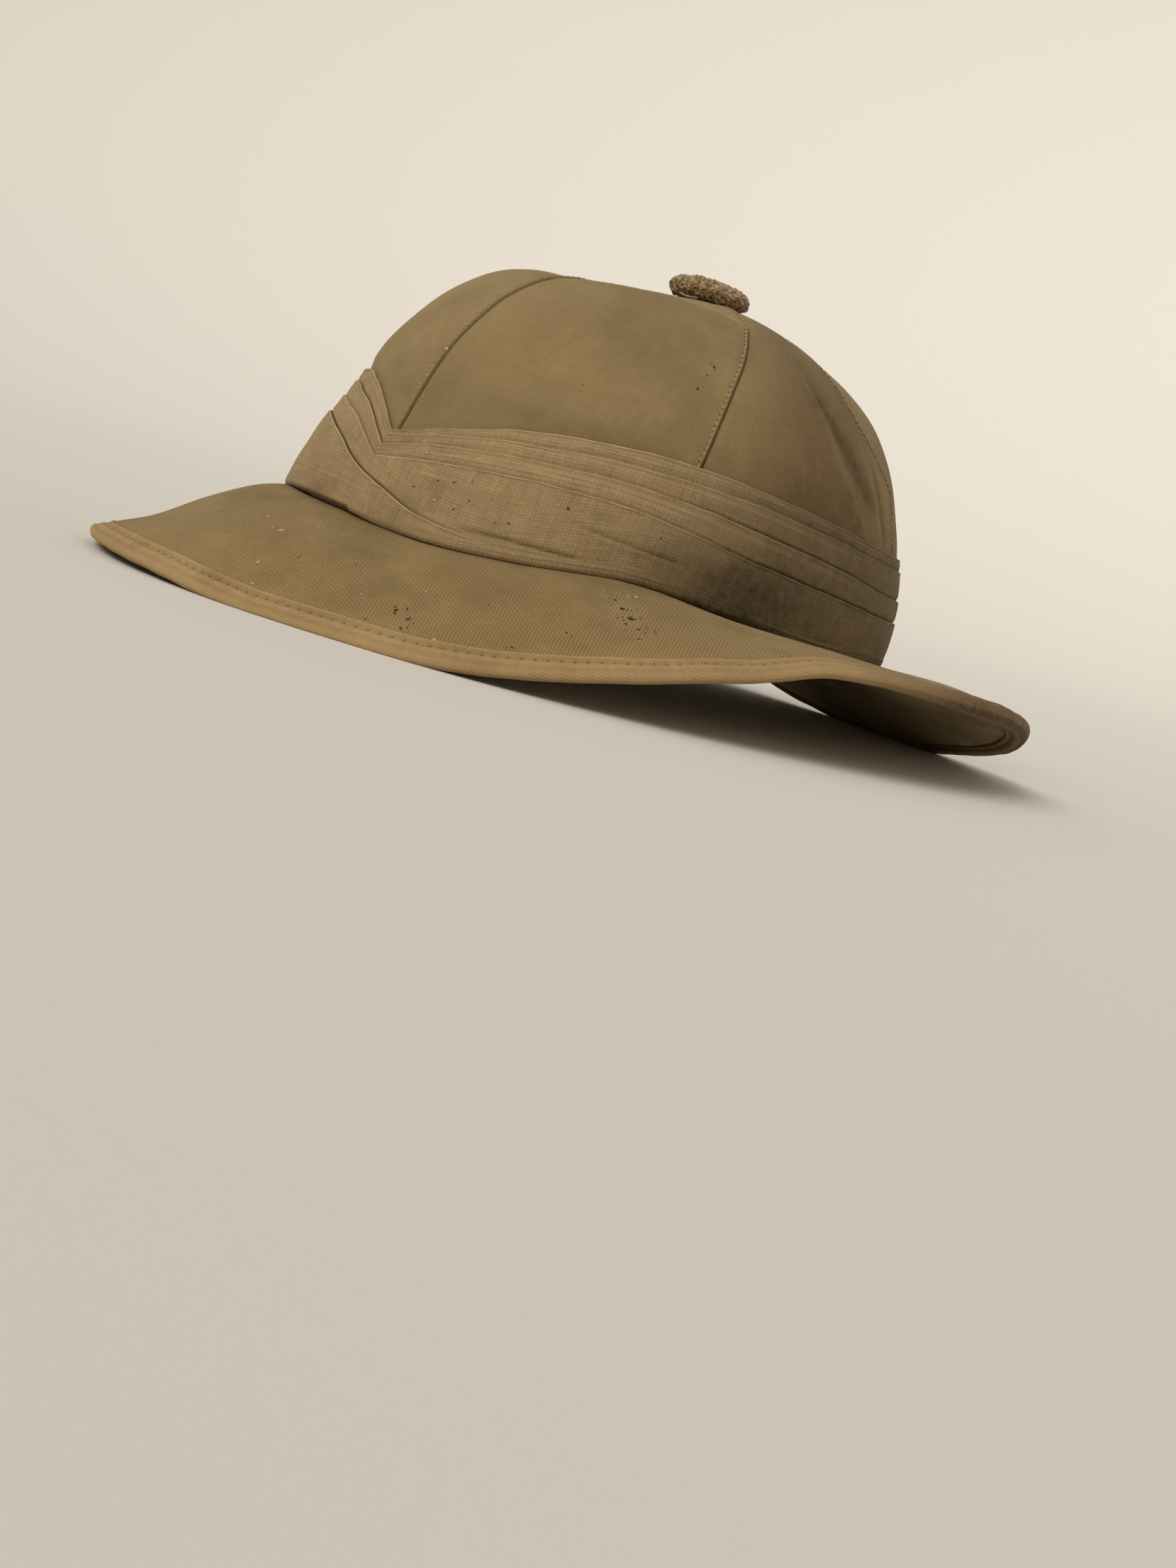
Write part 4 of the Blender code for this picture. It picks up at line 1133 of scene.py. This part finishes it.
bpy.ops.object.select_all(action="DESELECT")
yarn_end.select_set(True)
bpy.context.view_layer.objects.active = yarn_end
bpy.ops.object.convert(target="MESH")
yarn_end = bpy.context.active_object
# Coarse curled wool: fuzzy, pale and dusty on its loops, with a much darker ground between them, painted
# shade in the pits.
# The one loose yarn is smoother and paler. Its fibres are drawn 0.8 to 1.6 mm wide, so that they show.
button_ground = plain_thread("button_wool_shade", "5C4830", "42321E", 0.0012, 0.1)
button_wool = plain_thread("coarse_curled_wool", "BCA27A", "7A6442", 0.0016, 0.3)
yarn_wool = plain_thread("pale_loose_yarn", "B89C74", "9A7E58", 0.0008, 0.3)
for piece, finish in ((button, button_ground), (wool_loops, button_wool), (yarn_end, yarn_wool)):
    piece.data.materials.append(finish)
    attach(piece, "root")
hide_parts("top_button")


# Camera at the photograph's angle to the helmet, just above the floor it rests on
forward = Vector((-0.906, 0.4029, -0.1296)).normalized()
right = Vector((0.3587, 0.8935, 0.2701))
right = (right - forward * right.dot(forward)).normalized()
upward = right.cross(forward)
camera_data = bpy.data.cameras.new("camera")
camera_data.sensor_fit = "VERTICAL"
camera_data.sensor_height = 36
camera_data.lens = 47.2
camera_data.clip_start = 0.01
camera = bpy.data.objects.new("camera", camera_data)
turned = Matrix((right, upward, -forward)).transposed().to_4x4()
camera.matrix_world = Matrix.Translation((0.7006, -0.2893, 0.0588)) @ turned
bpy.context.scene.collection.objects.link(camera)
bpy.context.scene.camera = camera

# A plain pale floor that curves up far off into a plain round backdrop. Its matt paint keeps it even.
FLOOR_RADIUS = 1.8
BACKDROP_BEND = 1.6
BEND_STEPS = 12
bpy.ops.object.select_all(action="DESELECT")
bpy.ops.mesh.primitive_circle_add(vertices=160, radius=FLOOR_RADIUS, fill_type="NGON", location=(0, 0, 0))
floor = bpy.context.active_object
floor.name = "floor"
bpy.ops.object.mode_set(mode="EDIT")
bpy.ops.mesh.select_all(action="SELECT")
bpy.ops.mesh.region_to_loop()
radius = FLOOR_RADIUS
for step in range(BEND_STEPS):
    bend, last_bend = (math.radians(90 * at / BEND_STEPS) for at in (step + 1, step))
    wider = FLOOR_RADIUS + BACKDROP_BEND * math.sin(bend)
    rise = BACKDROP_BEND * (math.cos(last_bend) - math.cos(bend))
    bpy.ops.mesh.extrude_edges_move(TRANSFORM_OT_translate={"value": (0, 0, rise)})
    bpy.ops.transform.resize(value=(wider / radius, wider / radius, 1), center_override=(0, 0, 0))
    radius = wider
bpy.ops.mesh.select_all(action="SELECT")
bpy.ops.mesh.normals_make_consistent(inside=True)
bpy.ops.object.mode_set(mode="OBJECT")
bpy.ops.object.shade_smooth()
paper, _, paper_shader = new_material("pale_painted_floor")
paper_shader.inputs["Base Color"].default_value = tone("E6E1D8")
paper_shader.inputs["Roughness"].default_value = 0.9
paper_shader.inputs["Specular IOR Level"].default_value = 0.2
floor.data.materials.append(paper)

# Soft studio light from the helmet's front left, as even as a very broad lamp far off, and a pale room
lamp_data = bpy.data.lights.new("key_lamp", "SUN")
lamp_data.angle = math.radians(38)
lamp_data.energy = 1.9
lamp_data.color = (1.0, 0.975, 0.94)
lamp = bpy.data.objects.new("key_lamp", lamp_data)
lamp.rotation_euler = Vector((-0.50, 0.86, -0.74)).to_track_quat("-Z", "Y").to_euler()
bpy.context.scene.collection.objects.link(lamp)
world = bpy.data.worlds.new("studio")
world.use_nodes = True
world.node_tree.nodes["Background"].inputs["Color"].default_value = tone("F0ECE4")
world.node_tree.nodes["Background"].inputs["Strength"].default_value = 0.52
bpy.context.scene.world = world
bpy.context.scene.view_settings.view_transform = "Standard"
